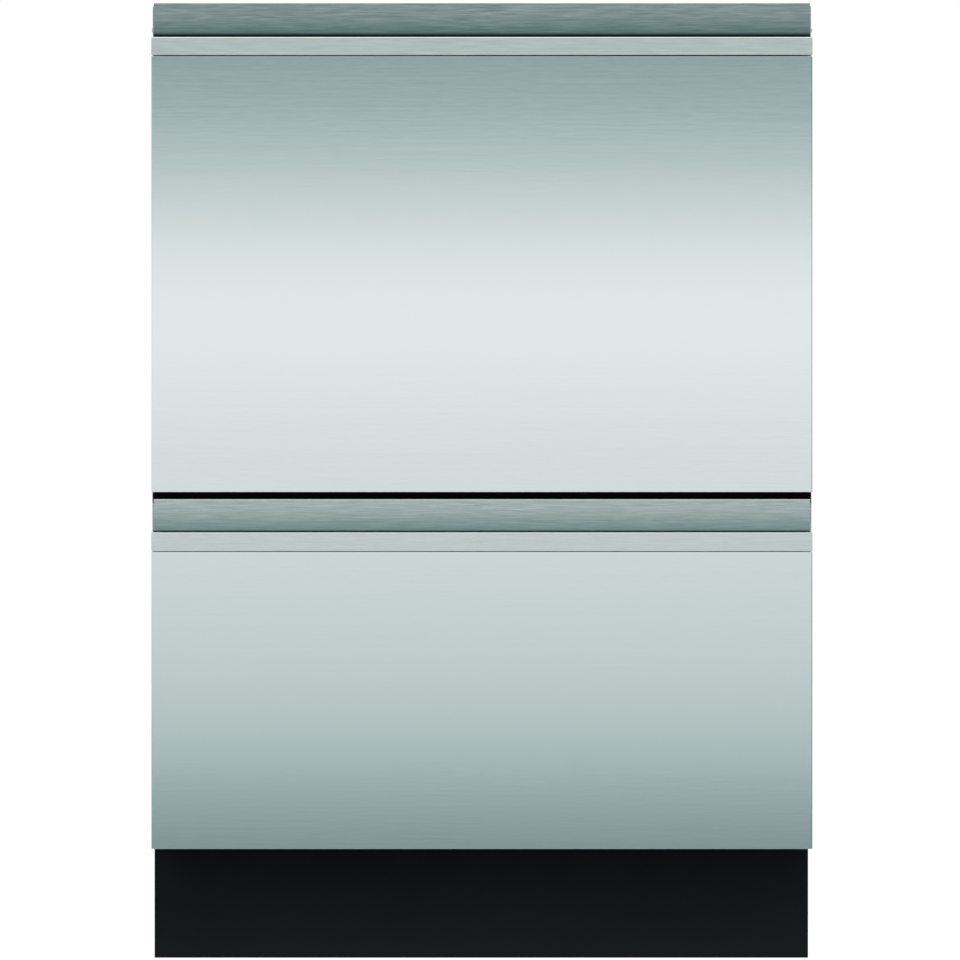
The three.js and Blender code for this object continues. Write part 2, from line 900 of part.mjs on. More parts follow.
function lidSeal({ sealBottom }) {
  const ring = (inset) =>
    roundedRectangle(
      both(lidHalf - inset),
      [lidY[0] + inset, lidY[1] - inset],
      tubCorner - lidEdge - inset,
    );
  const z = [sealBottom, sealBottom + sealHeight];
  return cut(
    alongZ(ring(sealInset), z, 5),
    alongZ(ring(sealInset + sealWidth), [z[0] - 1, z[1] + 1], 5),
  );
}

function lidLifter({ lidBottom }) {
  const top = lidBottom - lifterGap;
  const body = box(
    [tubHalf + lifterGap, slideOuterX],
    both(lifterLength / 2),
    [top - lifterHeight, top],
  );
  const guide = box(
    [tubHalf, legX[1] + running],
    both(legSize / 2 + running),
    [top - lifterHeight - 1, top + 1],
  );
  return cut(body, guide).translate([0, tubMiddleY, 0]);
}

// ---- Detergent dispenser -----------------------------------------------------------------

const bezelFaceY = tubInnerFrontY + seat + bezelProud;
const cupX = [cupInset - dispenserWidth / 2, cupInset - dispenserWidth / 2 + cupWidth];
const flapHinge = { y: bezelFaceY + barrelRadius + running, drop: cupHeight / 2 + hingeDrop };

function dispenserBody({ dispenser }) {
  const half = dispenserWidth / 2;
  const rise = dispenserHeight / 2;
  const body = box(
    both(half),
    [bezelFaceY - bezelProud - dispenserDepth, bezelFaceY],
    [dispenser - rise, dispenser + rise],
  );
  const bezel = alongY(
    roundedRectangle(
      both(half + bezelLip),
      [dispenser - rise - bezelLip, dispenser + rise + bezelLip],
      bezelCorner,
    ),
    [bezelFaceY - bezelProud, bezelFaceY],
    3,
  );
  const cup = box(
    cupX,
    [bezelFaceY - bezelProud - dispenserDepth + cupFloor, bezelFaceY + 1],
    [dispenser - cupHeight / 2, dispenser + cupHeight / 2],
  );
  const capX = (cupX[1] + half) / 2 + flapOverlap;
  const cap = barAlongY(
    capRadius,
    [capX, dispenser],
    [bezelFaceY - 1, bezelFaceY + capHeight],
    24,
  );
  const hingeZ = dispenser - flapHinge.drop;
  const lugGap = flapOverlap + running;
  const lugs = [cupX[0] - lugGap - lugWidth, cupX[1] + lugGap].map((x) =>
    box(
      [x, x + lugWidth],
      [bezelFaceY - 1, flapHinge.y + barrelRadius],
      [hingeZ - barrelRadius, hingeZ + barrelRadius],
    ),
  );
  const bore = barAlongX(
    pinRadius + seat,
    [flapHinge.y, hingeZ],
    [cupX[0] - 2 * lugWidth, cupX[1] + 2 * lugWidth],
    10,
  );
  return join(cut(join(body, bezel, lugs), cup, bore), cap);
}

function dispenserFlap({ dispenser }) {
  const x = [cupX[0] - flapOverlap, cupX[1] + flapOverlap];
  const hingeZ = dispenser - flapHinge.drop;
  const plate = box(
    x,
    [flapHinge.y - flapThickness / 2, flapHinge.y + flapThickness / 2],
    [hingeZ, dispenser + cupHeight / 2 + flapOverlap],
  );
  const barrel = barAlongX(barrelRadius, [flapHinge.y, hingeZ], x, 12);
  const pin = barAlongX(
    pinRadius,
    [flapHinge.y, hingeZ],
    [x[0] - lugWidth, x[1] + lugWidth],
    10,
  );
  return join(plate, barrel, pin);
}

// ---- Racks -------------------------------------------------------------------------------

const rackHalf = tubInner - rackInset;
const rackY = [tubInnerFrontY + rackInset, tubRearY - tubWall - rackInset];

// Evenly spaced places from one end to the other, without the ends themselves.
function spaced([from, to], count) {
  return Array.from(
    { length: count },
    (_, i) => from + ((i + 1) * (to - from)) / (count + 1),
  );
}

// A wire bent into a U, as an outline: the middles of its two ends, of its floor and its top.
function hoop([from, to], floorZ, topZ) {
  const w = rackWire / 2;
  const [left, right, low] = [from - w, to + w, floorZ - w];
  return [
    [left, topZ],
    [left, low + rackBend],
    [left + rackBend, low],
    [right - rackBend, low],
    [right, low + rackBend],
    [right, topZ],
    [to - w, topZ],
    [to - w, low + rackBend],
    [right - rackBend, floorZ + w],
    [left + rackBend, floorZ + w],
    [from + w, low + rackBend],
    [from + w, topZ],
  ];
}

// A welded basket: rings at three heights, with hoops round them both ways. The hoops that run
// along carry the tines, and four straight legs stand on the tub's floor.
function rack({ floor, rackFloor, rackTop }) {
  const w = rackWire / 2;
  const t = tineWire / 2;
  const out = rackWire - rackWeld;
  const ringBottom = rackFloor + rackBend + w;
  const rings = [ringBottom, (ringBottom + rackTop) / 2, rackTop].map((z) =>
    cut(
      box(both(rackHalf + w), [rackY[0] - w, rackY[1] + w], [z - w, z + w]),
      box(both(rackHalf - w), [rackY[0] + w, rackY[1] - w], [z - 2 * w, z + 2 * w]),
    ),
  );
  const acrossPlaces = spaced(rackY, wiresAcross);
  const alongPlaces = spaced(both(rackHalf), wiresAlong);
  const hoopsAcross = acrossPlaces.map((y) =>
    alongY(hoop(both(rackHalf + out), rackFloor - out, rackTop), [y - w, y + w]),
  );
  const hoopsAlong = alongPlaces.map((x) =>
    alongX(hoop([rackY[0] - out, rackY[1] + out], rackFloor, rackTop), [x - w, x + w]),
  );
  const tines = alongPlaces
    .slice(1, -1)
    .flatMap((x) =>
      spaced(rackY, tinesPerRow).map((y) =>
        box([x - t, x + t], [y - t, y + t], [rackFloor, rackFloor + tineHeight]),
      ),
    );
  const legs = [rackY[0] + legInset, rackY[1] - legInset].flatMap((y) =>
    both(rackHalf + out).map((x) =>
      box([x - w, x + w], [y - w, y + w], [floor + seat, rackTop]),
    ),
  );
  return join(rings, hoopsAcross, hoopsAlong, tines, legs);
}

// A slatted shelf that clips round the rack's top rail and folds up against the tub's side.
function cupShelf({ rackTop }) {
  const half = cupShelfThickness / 2;
  const bore = (rackWire / 2) * Math.SQRT2 + running;
  const clipRadius = bore + clipWall;
  const inner = rackHalf - cupShelfReach;
  const outer = rackHalf - clipRadius;
  const y = [tubMiddleY - cupShelfLength / 2, tubMiddleY + cupShelfLength / 2];
  const z = [rackTop - half, rackTop + half];
  const edges = [
    box([inner, inner + cupShelfThickness], y, z),
    box([outer - cupShelfThickness, outer], y, z),
  ];
  const pitch = (cupShelfLength - cupShelfThickness) / (cupShelfBars - 1);
  const bars = Array.from({ length: cupShelfBars }, (_, i) =>
    box([inner, outer], [y[0] + i * pitch, y[0] + i * pitch + cupShelfThickness], z),
  );
  const clipMiddles = clipPlaces(y);
  const clips = clipMiddles.map((at) =>
    join(
      barAlongY(clipRadius, [rackHalf, rackTop], [at - clipWidth / 2, at + clipWidth / 2], 16),
      box([outer - 1, rackHalf], [at - clipWidth / 2, at + clipWidth / 2], z),
    ),
  );
  const rail = barAlongY(bore, [rackHalf, rackTop], [y[0] - 1, y[1] + 1], 16);
  return cut(join(edges, bars, clips), rail);
}

// The clips sit between the rack's uprights, a quarter of the way in from each end.
function clipPlaces(y) {
  const uprights = spaced(rackY, wiresAcross);
  return [0.25, 0.75].map((share) => {
    const wanted = y[0] + share * (y[1] - y[0]);
    const next = uprights.findIndex((at) => at > wanted);
    return (uprights[next - 1] + uprights[next]) / 2;
  });
}

// ---- One drawer --------------------------------------------------------------------------

function addDrawer(prefix, levels) {
  const named = (name) => `${prefix}_${name}`;
  addSlides(prefix, levels.slide);
  add(named("door_skin"), doorSkin(levels), brushedSteel);
  add(named("finger_pull"), fingerPull(levels), brushedSteel);
  add(named("door_frame"), doorFrame(levels), blackPlastic);
  add(named("control_panel"), controlPanel(levels), glossBlack);
  add(named("start_button"), button(buttonX[0], levels), buttonPlastic);
  add(named("power_button"), button(buttonX[1], levels), buttonPlastic);
  add(named("tub"), tub(levels), tubPlastic);
  add(named("wash_pump"), pump(levels), pumpPlastic);
  add(named("filter_plate"), filterPlate(levels), filterSteel);
  add(named("spray_arm"), sprayArm(levels), armPlastic);
  add(named("lid"), lid(levels), lidPlastic);
  add(named("lid_seal"), lidSeal(levels), sealRubber);
  addPair(named("lid_lifter"), lidLifter(levels), blackPlastic);
  add(named("dispenser"), dispenserBody(levels), blackPlastic);
  add(named("dispenser_flap"), dispenserFlap(levels), blackPlastic);
  add(named("rack"), rack(levels), rackVinyl);
}

addDrawer("lower", lowerLevels);
addDrawer("upper", upperLevels);
addPair("upper_cup_shelf", cupShelf(upperLevels), rackVinyl);

export default dishwasher;
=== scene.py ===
"""Dresses a double dishwasher drawer: brushed steel fronts with recessed finger pulls, moulded
tubs with their wash systems, welded racks, lids, slides and the pressed chassis around them.

+Z is up, +X is right and the fronts face -Y. Lengths are in millimetres up to the point where a
mesh or a node tree takes them in metres. The floor, the lamps and the camera are in metres.
"""

import json
from math import cos, pi, radians, sin, sqrt

import bmesh
import bpy
from mathutils import Matrix, Vector

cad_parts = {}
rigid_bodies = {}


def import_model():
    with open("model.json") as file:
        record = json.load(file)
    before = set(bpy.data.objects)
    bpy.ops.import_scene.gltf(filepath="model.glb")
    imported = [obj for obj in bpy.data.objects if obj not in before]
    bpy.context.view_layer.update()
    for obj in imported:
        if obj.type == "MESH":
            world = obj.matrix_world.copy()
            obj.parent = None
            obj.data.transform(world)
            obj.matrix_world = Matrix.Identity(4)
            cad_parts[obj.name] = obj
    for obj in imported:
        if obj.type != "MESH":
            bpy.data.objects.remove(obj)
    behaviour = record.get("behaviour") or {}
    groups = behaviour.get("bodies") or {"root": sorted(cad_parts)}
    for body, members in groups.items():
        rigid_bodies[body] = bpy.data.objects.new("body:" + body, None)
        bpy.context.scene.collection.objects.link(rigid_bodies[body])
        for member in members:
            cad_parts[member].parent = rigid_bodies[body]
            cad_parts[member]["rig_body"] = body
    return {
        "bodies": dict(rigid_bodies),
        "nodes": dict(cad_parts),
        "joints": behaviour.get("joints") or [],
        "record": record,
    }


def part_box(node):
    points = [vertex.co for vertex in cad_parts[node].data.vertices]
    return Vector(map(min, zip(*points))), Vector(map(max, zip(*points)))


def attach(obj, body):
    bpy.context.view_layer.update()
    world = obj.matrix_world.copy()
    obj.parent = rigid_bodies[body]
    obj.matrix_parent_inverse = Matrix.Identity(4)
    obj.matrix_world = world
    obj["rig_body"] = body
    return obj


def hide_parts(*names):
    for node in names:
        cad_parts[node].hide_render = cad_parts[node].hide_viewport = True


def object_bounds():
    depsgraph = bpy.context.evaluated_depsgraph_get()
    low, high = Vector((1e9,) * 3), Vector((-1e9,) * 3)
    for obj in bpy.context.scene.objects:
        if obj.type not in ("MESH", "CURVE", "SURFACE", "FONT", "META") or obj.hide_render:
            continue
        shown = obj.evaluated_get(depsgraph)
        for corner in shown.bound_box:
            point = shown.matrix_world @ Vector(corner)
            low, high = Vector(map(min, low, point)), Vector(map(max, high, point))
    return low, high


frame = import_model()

bl_info = {
    "name": "Dishwasher Drawer Looks",
    "version": (1, 0, 0),
    "blender": (4, 5, 0),
    "location": "3D View > Sidebar > Dishwasher",
    "description": "Finishes and fine detail for a double dishwasher drawer",
    "category": "Object",
}

MM = 0.001
DRAWERS = ("lower", "upper")
SIDES = {"left": -1, "right": 1}
UP, DOWN, FORWARD, BACK = (0, 0, 1), (0, 0, -1), (0, -1, 0), (0, 1, 0)
SLOTS = {part["node"]: part["material_slot"] for part in frame["record"]["subparts"]}
CAD_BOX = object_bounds()

# For each drawer: the seam above its front, how far its lip stands above its frame, how far its
# painted highlight lies above the pull, how deep its mouth is painted black, and the daylight in
# the painted shade on its band.
FRONTS = {"lower": (0.4, 0.4, 0, 2, 0.63), "upper": (0.9, -0.6, 3, 5, 0.6)}

# Places along a tub's wall, as a share of its length, and how deep a flute is there.
FLUTES = [
    (centre + offset, depth)
    for centre in (0.14, 0.32, 0.5, 0.68, 0.86)
    for offset, depth in (
        (-0.065, 0.0), (-0.056, 0.5), (-0.047, 1.0), (0.047, 1.0), (0.056, 0.5), (0.065, 0.0)
    )
]


# ---- Sizes and colours -------------------------------------------------------------------


def length(name, description, default):
    return bpy.props.FloatProperty(
        name=name, description=description, default=default, min=0.0, subtype="DISTANCE",
        precision=4,
    )


def colour(name, description, default):
    return bpy.props.FloatVectorProperty(
        name=name, description=description, default=default, subtype="COLOR", size=3,
        min=0.0, max=1.0,
    )


class DishwasherSizes(bpy.types.PropertyGroup):
    """Sizes of the detail that is finer than the solids."""

    steel_edge: length("Steel edge", "Radius along the edges of the steel fronts", 0.25 * MM)
    moulded_edge: length("Moulded edge", "Radius along the edges of plastic parts", 0.7 * MM)
    sheet_edge: length("Sheet edge", "Radius along the edges of pressed sheet", 0.3 * MM)
    bead_height: length("Bead height", "How far pressed beads stand out", 0.8 * MM)
    screw_head: length("Screw head", "Radius of a screw's head", 4.2 * MM)
    wire: length("Wire", "Diameter of the coated rack wire", 4 * MM)
    tine_wire: length("Tine wire", "Diameter of a rack tine", 3.2 * MM)
    wire_bend: length("Wire bend", "Radius at the middle of a bent wire", 9 * MM)
    filter_pitch: length("Filter pitch", "From hole to hole in the filter plate", 6.4 * MM)
    filter_hole: length("Filter hole", "Diameter of a hole in the filter plate", 3.2 * MM)
    camera_distance: length("Camera distance", "From the steel fronts to the camera", 30.0)
    view_width: length("View width", "Width of the picture at the steel fronts", 0.8696)


class DishwasherColours(bpy.types.PropertyGroup):
    """Colours of the main finishes, as linear light."""

    steel: colour("Steel", "Brushed stainless steel of the fronts", (0.78, 0.80, 0.795))
    sheet: colour("Coated sheet", "Galvanised sheet of the chassis", (0.49, 0.51, 0.52))
    paint: colour("Black paint", "Toe kick and centre rail", (0.0034, 0.0044, 0.0048))
    tub: colour("Tub", "Grey moulding of the tubs", (0.40, 0.43, 0.45))
    lid: colour("Lid", "Grey moulding of the lids", (0.33, 0.36, 0.38))
    rack: colour("Rack", "Soft coating of the rack wires", (0.19, 0.215, 0.235))
    moulding: colour("Black moulding", "Door frames and dispensers", (0.020, 0.022, 0.024))


def size(name):
    """A size of the panel, in millimetres."""
    return getattr(bpy.context.scene.dishwasher_sizes, name) / MM


def shade(base, share=1.0):
    """A colour, or the panel's colour of that name, made darker or lighter."""
    if isinstance(base, str):
        base = getattr(bpy.context.scene.dishwasher_colours, base)
    return tuple(min(1.0, part * share) for part in base)


# ---- Node trees --------------------------------------------------------------------------


class Wire:
    """An output of a node. Arithmetic on it adds Math nodes to the same tree."""

    def __init__(self, graph, socket):
        self.graph = graph
        self.socket = socket

    def __getitem__(self, outlet):
        return Wire(self.graph, self.socket.node.outputs[outlet])

    def math(self, operation, *values):
        return self.graph.add("ShaderNodeMath", dict(enumerate(values)), operation=operation)

    def __add__(self, other):
        return self.math("ADD", self, other)

    def __sub__(self, other):
        return self.math("SUBTRACT", self, other)

    def __rsub__(self, other):
        return self.math("SUBTRACT", other, self)

    def __mul__(self, other):
        return self.math("MULTIPLY", self, other)

    def __truediv__(self, other):
        return self.math("DIVIDE", self, other)

    __radd__, __rmul__ = __add__, __mul__

    def eased(self, low, high):
        """0 below low, 1 above high, with a smooth step between them."""
        values = {"Value": self, "From Min": low, "From Max": high}
        return self.graph.add("ShaderNodeMapRange", values, interpolation_type="SMOOTHSTEP")


class Graph:
    """A shader or geometry node tree that is filled in from Python."""

    def __init__(self, tree):
        self.tree = tree
        tree.nodes.clear()

    def add(self, kind, values=None, outlet=0, stops=None, **settings):
        """A new node: its settings, a ramp's stops, then its sockets' values or links."""
        node = self.tree.nodes.new(kind)
        for name, value in settings.items():
            setattr(node, name, value)
        if stops:
            ramp = node.color_ramp.elements
            while len(ramp) < len(stops):
                ramp.new(0.5)
            for stop, (place, tone) in zip(ramp, stops):
                stop.position = place
                stop.color = (*tone, 1.0)
        for name, value in (values or {}).items():
            if isinstance(value, Wire):
                self.tree.links.new(value.socket, node.inputs[name])
            else:
                node.inputs[name].default_value = value
        return Wire(self, node.outputs[outlet]) if node.outputs else None

    def place(self, *grain):
        """Object coordinates, in units of so many millimetres along X, Y and Z."""
        where = self.add("ShaderNodeTexCoord", outlet="Object")
        scale = tuple(1 / (part * MM) for part in (grain * 3)[:3])
        return self.add("ShaderNodeMapping", {"Vector": where, "Scale": scale})

    def axis(self, name):
        """One of the Object coordinates, in millimetres."""
        return self.add("ShaderNodeSeparateXYZ", {"Vector": self.place(1)}, outlet=name)

    def noise(self, *grain, detail=2.0):
        """Noise from 0 to 1 whose grain is so many millimetres long along X, Y and Z."""
        values = {"Vector": self.place(*grain), "Scale": 1.0, "Detail": detail}
        return self.add("ShaderNodeTexNoise", values)

    def mix(self, factor, low, high):
        """A colour between low and high."""
        values = {0: factor}
        for socket, side in ((6, low), (7, high)):
            values[socket] = side if isinstance(side, Wire) else (*side, 1.0)
        return self.add("ShaderNodeMix", values, outlet=2, data_type="RGBA")

    def bump(self, height, distance, strength=1.0):
        values = {"Height": height, "Distance": distance * MM, "Strength": strength}
        return self.add("ShaderNodeBump", values)


# ---- Finishes ----------------------------------------------------------------------------
#
# Each function gives the Principled sockets of one kind of surface.


def brushed_panel(graph):
    """Fine horizontal brushing on the large fronts."""
    fine = graph.noise(12, 4, 1.0, detail=3)
    streak = graph.noise(180, 9, 1.3)
    grain = fine * 0.6 + streak * 0.4
    return {
        "Base Color": graph.mix(grain, shade("steel", 0.94), shade("steel", 1.06)),
        "Metallic": 1.0,
        "Roughness": grain * 0.08 + 0.12,
        "Anisotropic": 0.65,
        "Anisotropic Rotation": 0.25,
        "Normal": graph.bump(fine, 0.01, 0.3),
    }


def brushed_pull(graph, drawer):
    """Coarser brushing on a finger pull, with painted shade on its band: painted black where it
    goes down behind the lip, over depth, painted darker towards the lip with a share of daylight,
    and a painted highlight at its bead."""
    rim, lip_back, bead, depth, daylight = pull_painted_shade(drawer)
    fine = graph.noise(16, 3, 0.7, detail=3)
    streak = graph.noise(27, 6, 1.4)
    grain = fine * 0.5 + streak * 0.5
    metal = graph.mix(grain, shade("steel", 0.77), shade("steel", 1.21))
    rise = graph.axis("Z")
    # Painted shadow: the mouth is painted black where the band goes down behind the lip, over
    # depth.
    mouth = rise.eased(rim + 0.2 * depth, rim + depth)
    # Painted shade: inside the pocket the band is painted darker towards the lip, at a share of
    # daylight.
    upper = rise.eased(rim, rim + 25)
    inside = graph.axis("Y").eased(lip_back - 0.3, lip_back + 3)
    # Painted highlight: the top of the bead is kept out of the painted shade, so that it shows as
    # a bright line.
    painted_highlight = rise.eased(bead - 1.3, bead - 0.8)
    streaks = grain * 0.8 + 0.6
    band = (upper * 0.48 + 0.52) * daylight * streaks
    light = 1 - inside * (1 - painted_highlight) * (1 - band)
    # Painted shade: where the painted light is low the band goes to a dark teal, and the mouth to
    # black.
    shaded = graph.mix(light, (0.0, 0.11, 0.105), metal)
    return {
        "Base Color": graph.mix(1 - inside * (1 - mouth), (0.001, 0.006, 0.006), shaded),
        "Metallic": 1.0,
        "Roughness": grain * 0.12 + 0.24 - inside * 0.06,
        "Anisotropic": 0.6,
        "Anisotropic Rotation": 0.25,
        "Normal": graph.bump(streak, 0.02, 0.6),
    }


def moulded(graph, base, roughness, grain=0.5, relief=0.02):
    """Moulded plastic with a fine skin and a slow change of tone."""
    skin = graph.noise(grain)
    cloud = graph.noise(90)
    tone = skin * 0.35 + cloud * 0.65
    return {
        "Base Color": graph.mix(tone, shade(base, 0.94), shade(base, 1.06)),
        "Roughness": skin * 0.12 + (roughness - 0.06),
        "Normal": graph.bump(skin, relief, 0.5),
    }


def plated(graph, base, roughness, spangle=None):
    """Galvanised or plated steel; spangle is the size of its crystals."""
    cloud = graph.noise(70, detail=3)
    fine = graph.noise(2, detail=3)
    if spangle:
        values = {"Vector": graph.place(spangle), "Scale": 1.0}
        cells = graph.add("ShaderNodeTexVoronoi", values, outlet="Color")
        crystal = graph.add("ShaderNodeSeparateColor", {"Color": cells})
        tone = crystal * 0.45 + cloud * 0.35 + fine * 0.2
    else:
        tone = cloud * 0.6 + fine * 0.4
    return {
        "Base Color": graph.mix(tone, shade(base, 0.84), shade(base, 1.14)),
        "Metallic": 0.55,
        "Roughness": tone * 0.16 + (roughness - 0.08),
        "Normal": graph.bump(fine, 0.01, 0.3),
    }


def powder_coat(graph, share=1.0, gloss=0.12):
    """Black powder coat with a fine orange peel; share darkens it as painted shade where it is
    below 1, and gloss sets its specular level.
    """
    peel = graph.noise(0.9, detail=1)
    cloud = graph.noise(60)
    paint = shade("paint", share)
    return {
        "Base Color": graph.mix(cloud, shade(paint, 0.8), shade(paint, 1.25)),
        "Roughness": cloud * 0.1 + 0.42,
        "Specular IOR Level": gloss,
        "Normal": graph.bump(peel, 0.05, 0.3),
    }


def rubber(graph):
    """Dull rubber with a bloom on it."""
    bloom = graph.noise(14, detail=4)
    skin = graph.noise(0.4)
    return {
        "Base Color": graph.mix(bloom, (0.022, 0.024, 0.026), (0.042, 0.045, 0.048)),
        "Roughness": bloom * 0.15 + 0.72,
        "Normal": graph.bump(skin, 0.03, 0.5),
    }


def damping(graph):
    """Bitumen sheet with a mottled, slightly pitted face."""
    pits = graph.noise(3, detail=5)
    tone = pits * 0.6 + graph.noise(35) * 0.4
    return {
        "Base Color": graph.mix(tone, (0.010, 0.010, 0.011), (0.035, 0.034, 0.033)),
        "Roughness": tone * 0.2 + 0.62,
        "Normal": graph.bump(pits, 0.4, 0.5),
    }


def glassy(graph, grain, low, high, roughness, coat):
    """Clear or dark glass that is a little cloudy."""
    cloud = graph.noise(grain)
    return {
        "Base Color": graph.mix(cloud, low, high),
        "Roughness": cloud * roughness[0] + roughness[1],
        "Coat Weight": coat,
    }


def perforated_steel(graph):
    """Satin sheet with faint swirls."""
    swirl = graph.noise(18, 18, 5, detail=4)
    fine = graph.noise(0.8, detail=3)
    tone = swirl * 0.5 + fine * 0.5
    return {
        "Base Color": graph.mix(tone, (0.56, 0.58, 0.59), (0.72, 0.74, 0.745)),
        "Metallic": 1.0,
        "Roughness": tone * 0.14 + 0.2,
        "Normal": graph.bump(fine, 0.01, 0.4),
    }


FINISHES = {
    "brushed_panel": (brushed_panel,),
    # The finger pulls' finishes carry painted shade on their bands, darker on the lower drawer.
    "brushed_pull_lower": (brushed_pull, "lower"),
    "brushed_pull_upper": (brushed_pull, "upper"),
    "perforated_steel": (perforated_steel,),
    "galvanised": (plated, "sheet", 0.42, 9),
    "zinc": (plated, (0.56, 0.58, 0.60), 0.34),
    "foot_steel": (plated, (0.42, 0.43, 0.44), 0.42),
    "nickel": (plated, (0.66, 0.64, 0.60), 0.25),
    "black_paint": (powder_coat,),
    # Painted shade: the centre rail's paint is made darker and less glossy for the gap it lies
    # in.
    "rail_paint": (powder_coat, 0.3, 0.04),
    "tub_plastic": (moulded, "tub", 0.42, 1.2),
    "lid_plastic": (moulded, "lid", 0.45, 0.8),
    "arm_plastic": (moulded, (0.55, 0.58, 0.60), 0.36, 0.9),
    "pump_plastic": (moulded, (0.030, 0.034, 0.037), 0.55, 0.5, 0.03),
    "black_plastic": (moulded, "moulding", 0.5),
    "button_plastic": (moulded, (0.42, 0.44, 0.45), 0.3, 0.5, 0.005),
    "gloss_black": (moulded, (0.009, 0.009, 0.011), 0.14, 0.5, 0.002),
    "print_white": (moulded, (0.62, 0.64, 0.65), 0.5, 0.3),
    "rack_vinyl": (moulded, "rack", 0.4, 1.5, 0.04),
    "rubber": (rubber,),
    "damping": (damping,),
    "lamp_lens": (glassy, 1.5, (0.35, 0.38, 0.4), (0.5, 0.53, 0.55), (0.1, 0.18), 0.4),
    "display_glass": (
        glassy, 30, (0.004, 0.006, 0.008), (0.008, 0.011, 0.014), (0.05, 0.05), 0.5
    ),
}
SLOT_FINISHES = {
    "brushed_steel": "brushed_panel", "coated_sheet": "galvanised", "zinc_steel": "zinc",
    "seal_rubber": "rubber", "filter_steel": "perforated_steel",
}


def finish(name):
    """The material of a finish, made when it is first asked for."""
    material = bpy.data.materials.get(f"{name}_finish")
    if not material:
        material = bpy.data.materials.new(f"{name}_finish")
        material.use_nodes = True
        graph = Graph(material.node_tree)
        sockets, *values = FINISHES[name]
        surface = graph.add("ShaderNodeBsdfPrincipled", sockets(graph, *values))
        graph.add("ShaderNodeOutputMaterial", {"Surface": surface})
    return material


# ---- Places and shapes -------------------------------------------------------------------


class Extent:
    """The corners and the middle of a CAD node at rest, in millimetres."""

    def __init__(self, node):
        low, high = ([part / MM for part in corner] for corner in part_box(node))
        self.x0, self.y0, self.z0 = low
        self.x1, self.y1, self.z1 = high
        self.x, self.y, self.z = ((a + b) / 2 for a, b in zip(low, high))


def facing(place, direction):
    """A frame at a place whose Z axis points along direction, with its Y axis upwards."""
    forward = Vector(direction).normalized()
    guide = Vector((0, 1, 0)) if abs(forward.z) > 0.9 else Vector((0, 0, 1))
    across = guide.cross(forward).normalized()
    turn = Matrix((across, forward.cross(across), forward)).transposed().to_4x4()
    return Matrix.Translation(Vector(place)) @ turn


def spread(start, end, count):
    """Places from start to end, both ends among them."""
    return [start + (end - start) * i / (count - 1) for i in range(count)]


def ring(reach_x, reach_y, corner, z, centre=(0.0, 0.0), steps=8, sides=((), (), (), ())):
    """A rounded rectangle of points. sides holds, for the back, left, front and right, the
    (share, inset) of extra points along it."""
    corner = min(corner, reach_x, reach_y)
    signs = ((1, 1), (-1, 1), (-1, -1), (1, -1))
    middles = [Vector((x * (reach_x - corner), y * (reach_y - corner))) for x, y in signs]
    points = []
    for quarter, middle in enumerate(middles):
        for step in range(steps + 1):
            angle = (quarter + step / max(steps, 1)) * pi / 2
            points.append(middle + corner * Vector((cos(angle), sin(angle))))
        outwards = Vector((cos((quarter + 1) * pi / 2), sin((quarter + 1) * pi / 2)))
        following = middles[(quarter + 1) % 4]
        for share, inset in sides[quarter]:
            points.append(middle.lerp(following, share) + (corner - inset) * outwards)
    return [(centre[0] + p.x, centre[1] + p.y, z) for p in points]


def circle(radius, z, steps=32, start=0.0):
    angles = [start + 2 * pi * i / steps for i in range(steps)]
    return [(radius * cos(angle), radius * sin(angle), z) for angle in angles]


def smooth(mesh, sharp=35):
    """The mesh, shaded smooth but for the edges that turn by more than sharp degrees."""
    mesh.shade_smooth()
    mesh.set_sharp_from_angle(angle=radians(sharp))
    return mesh


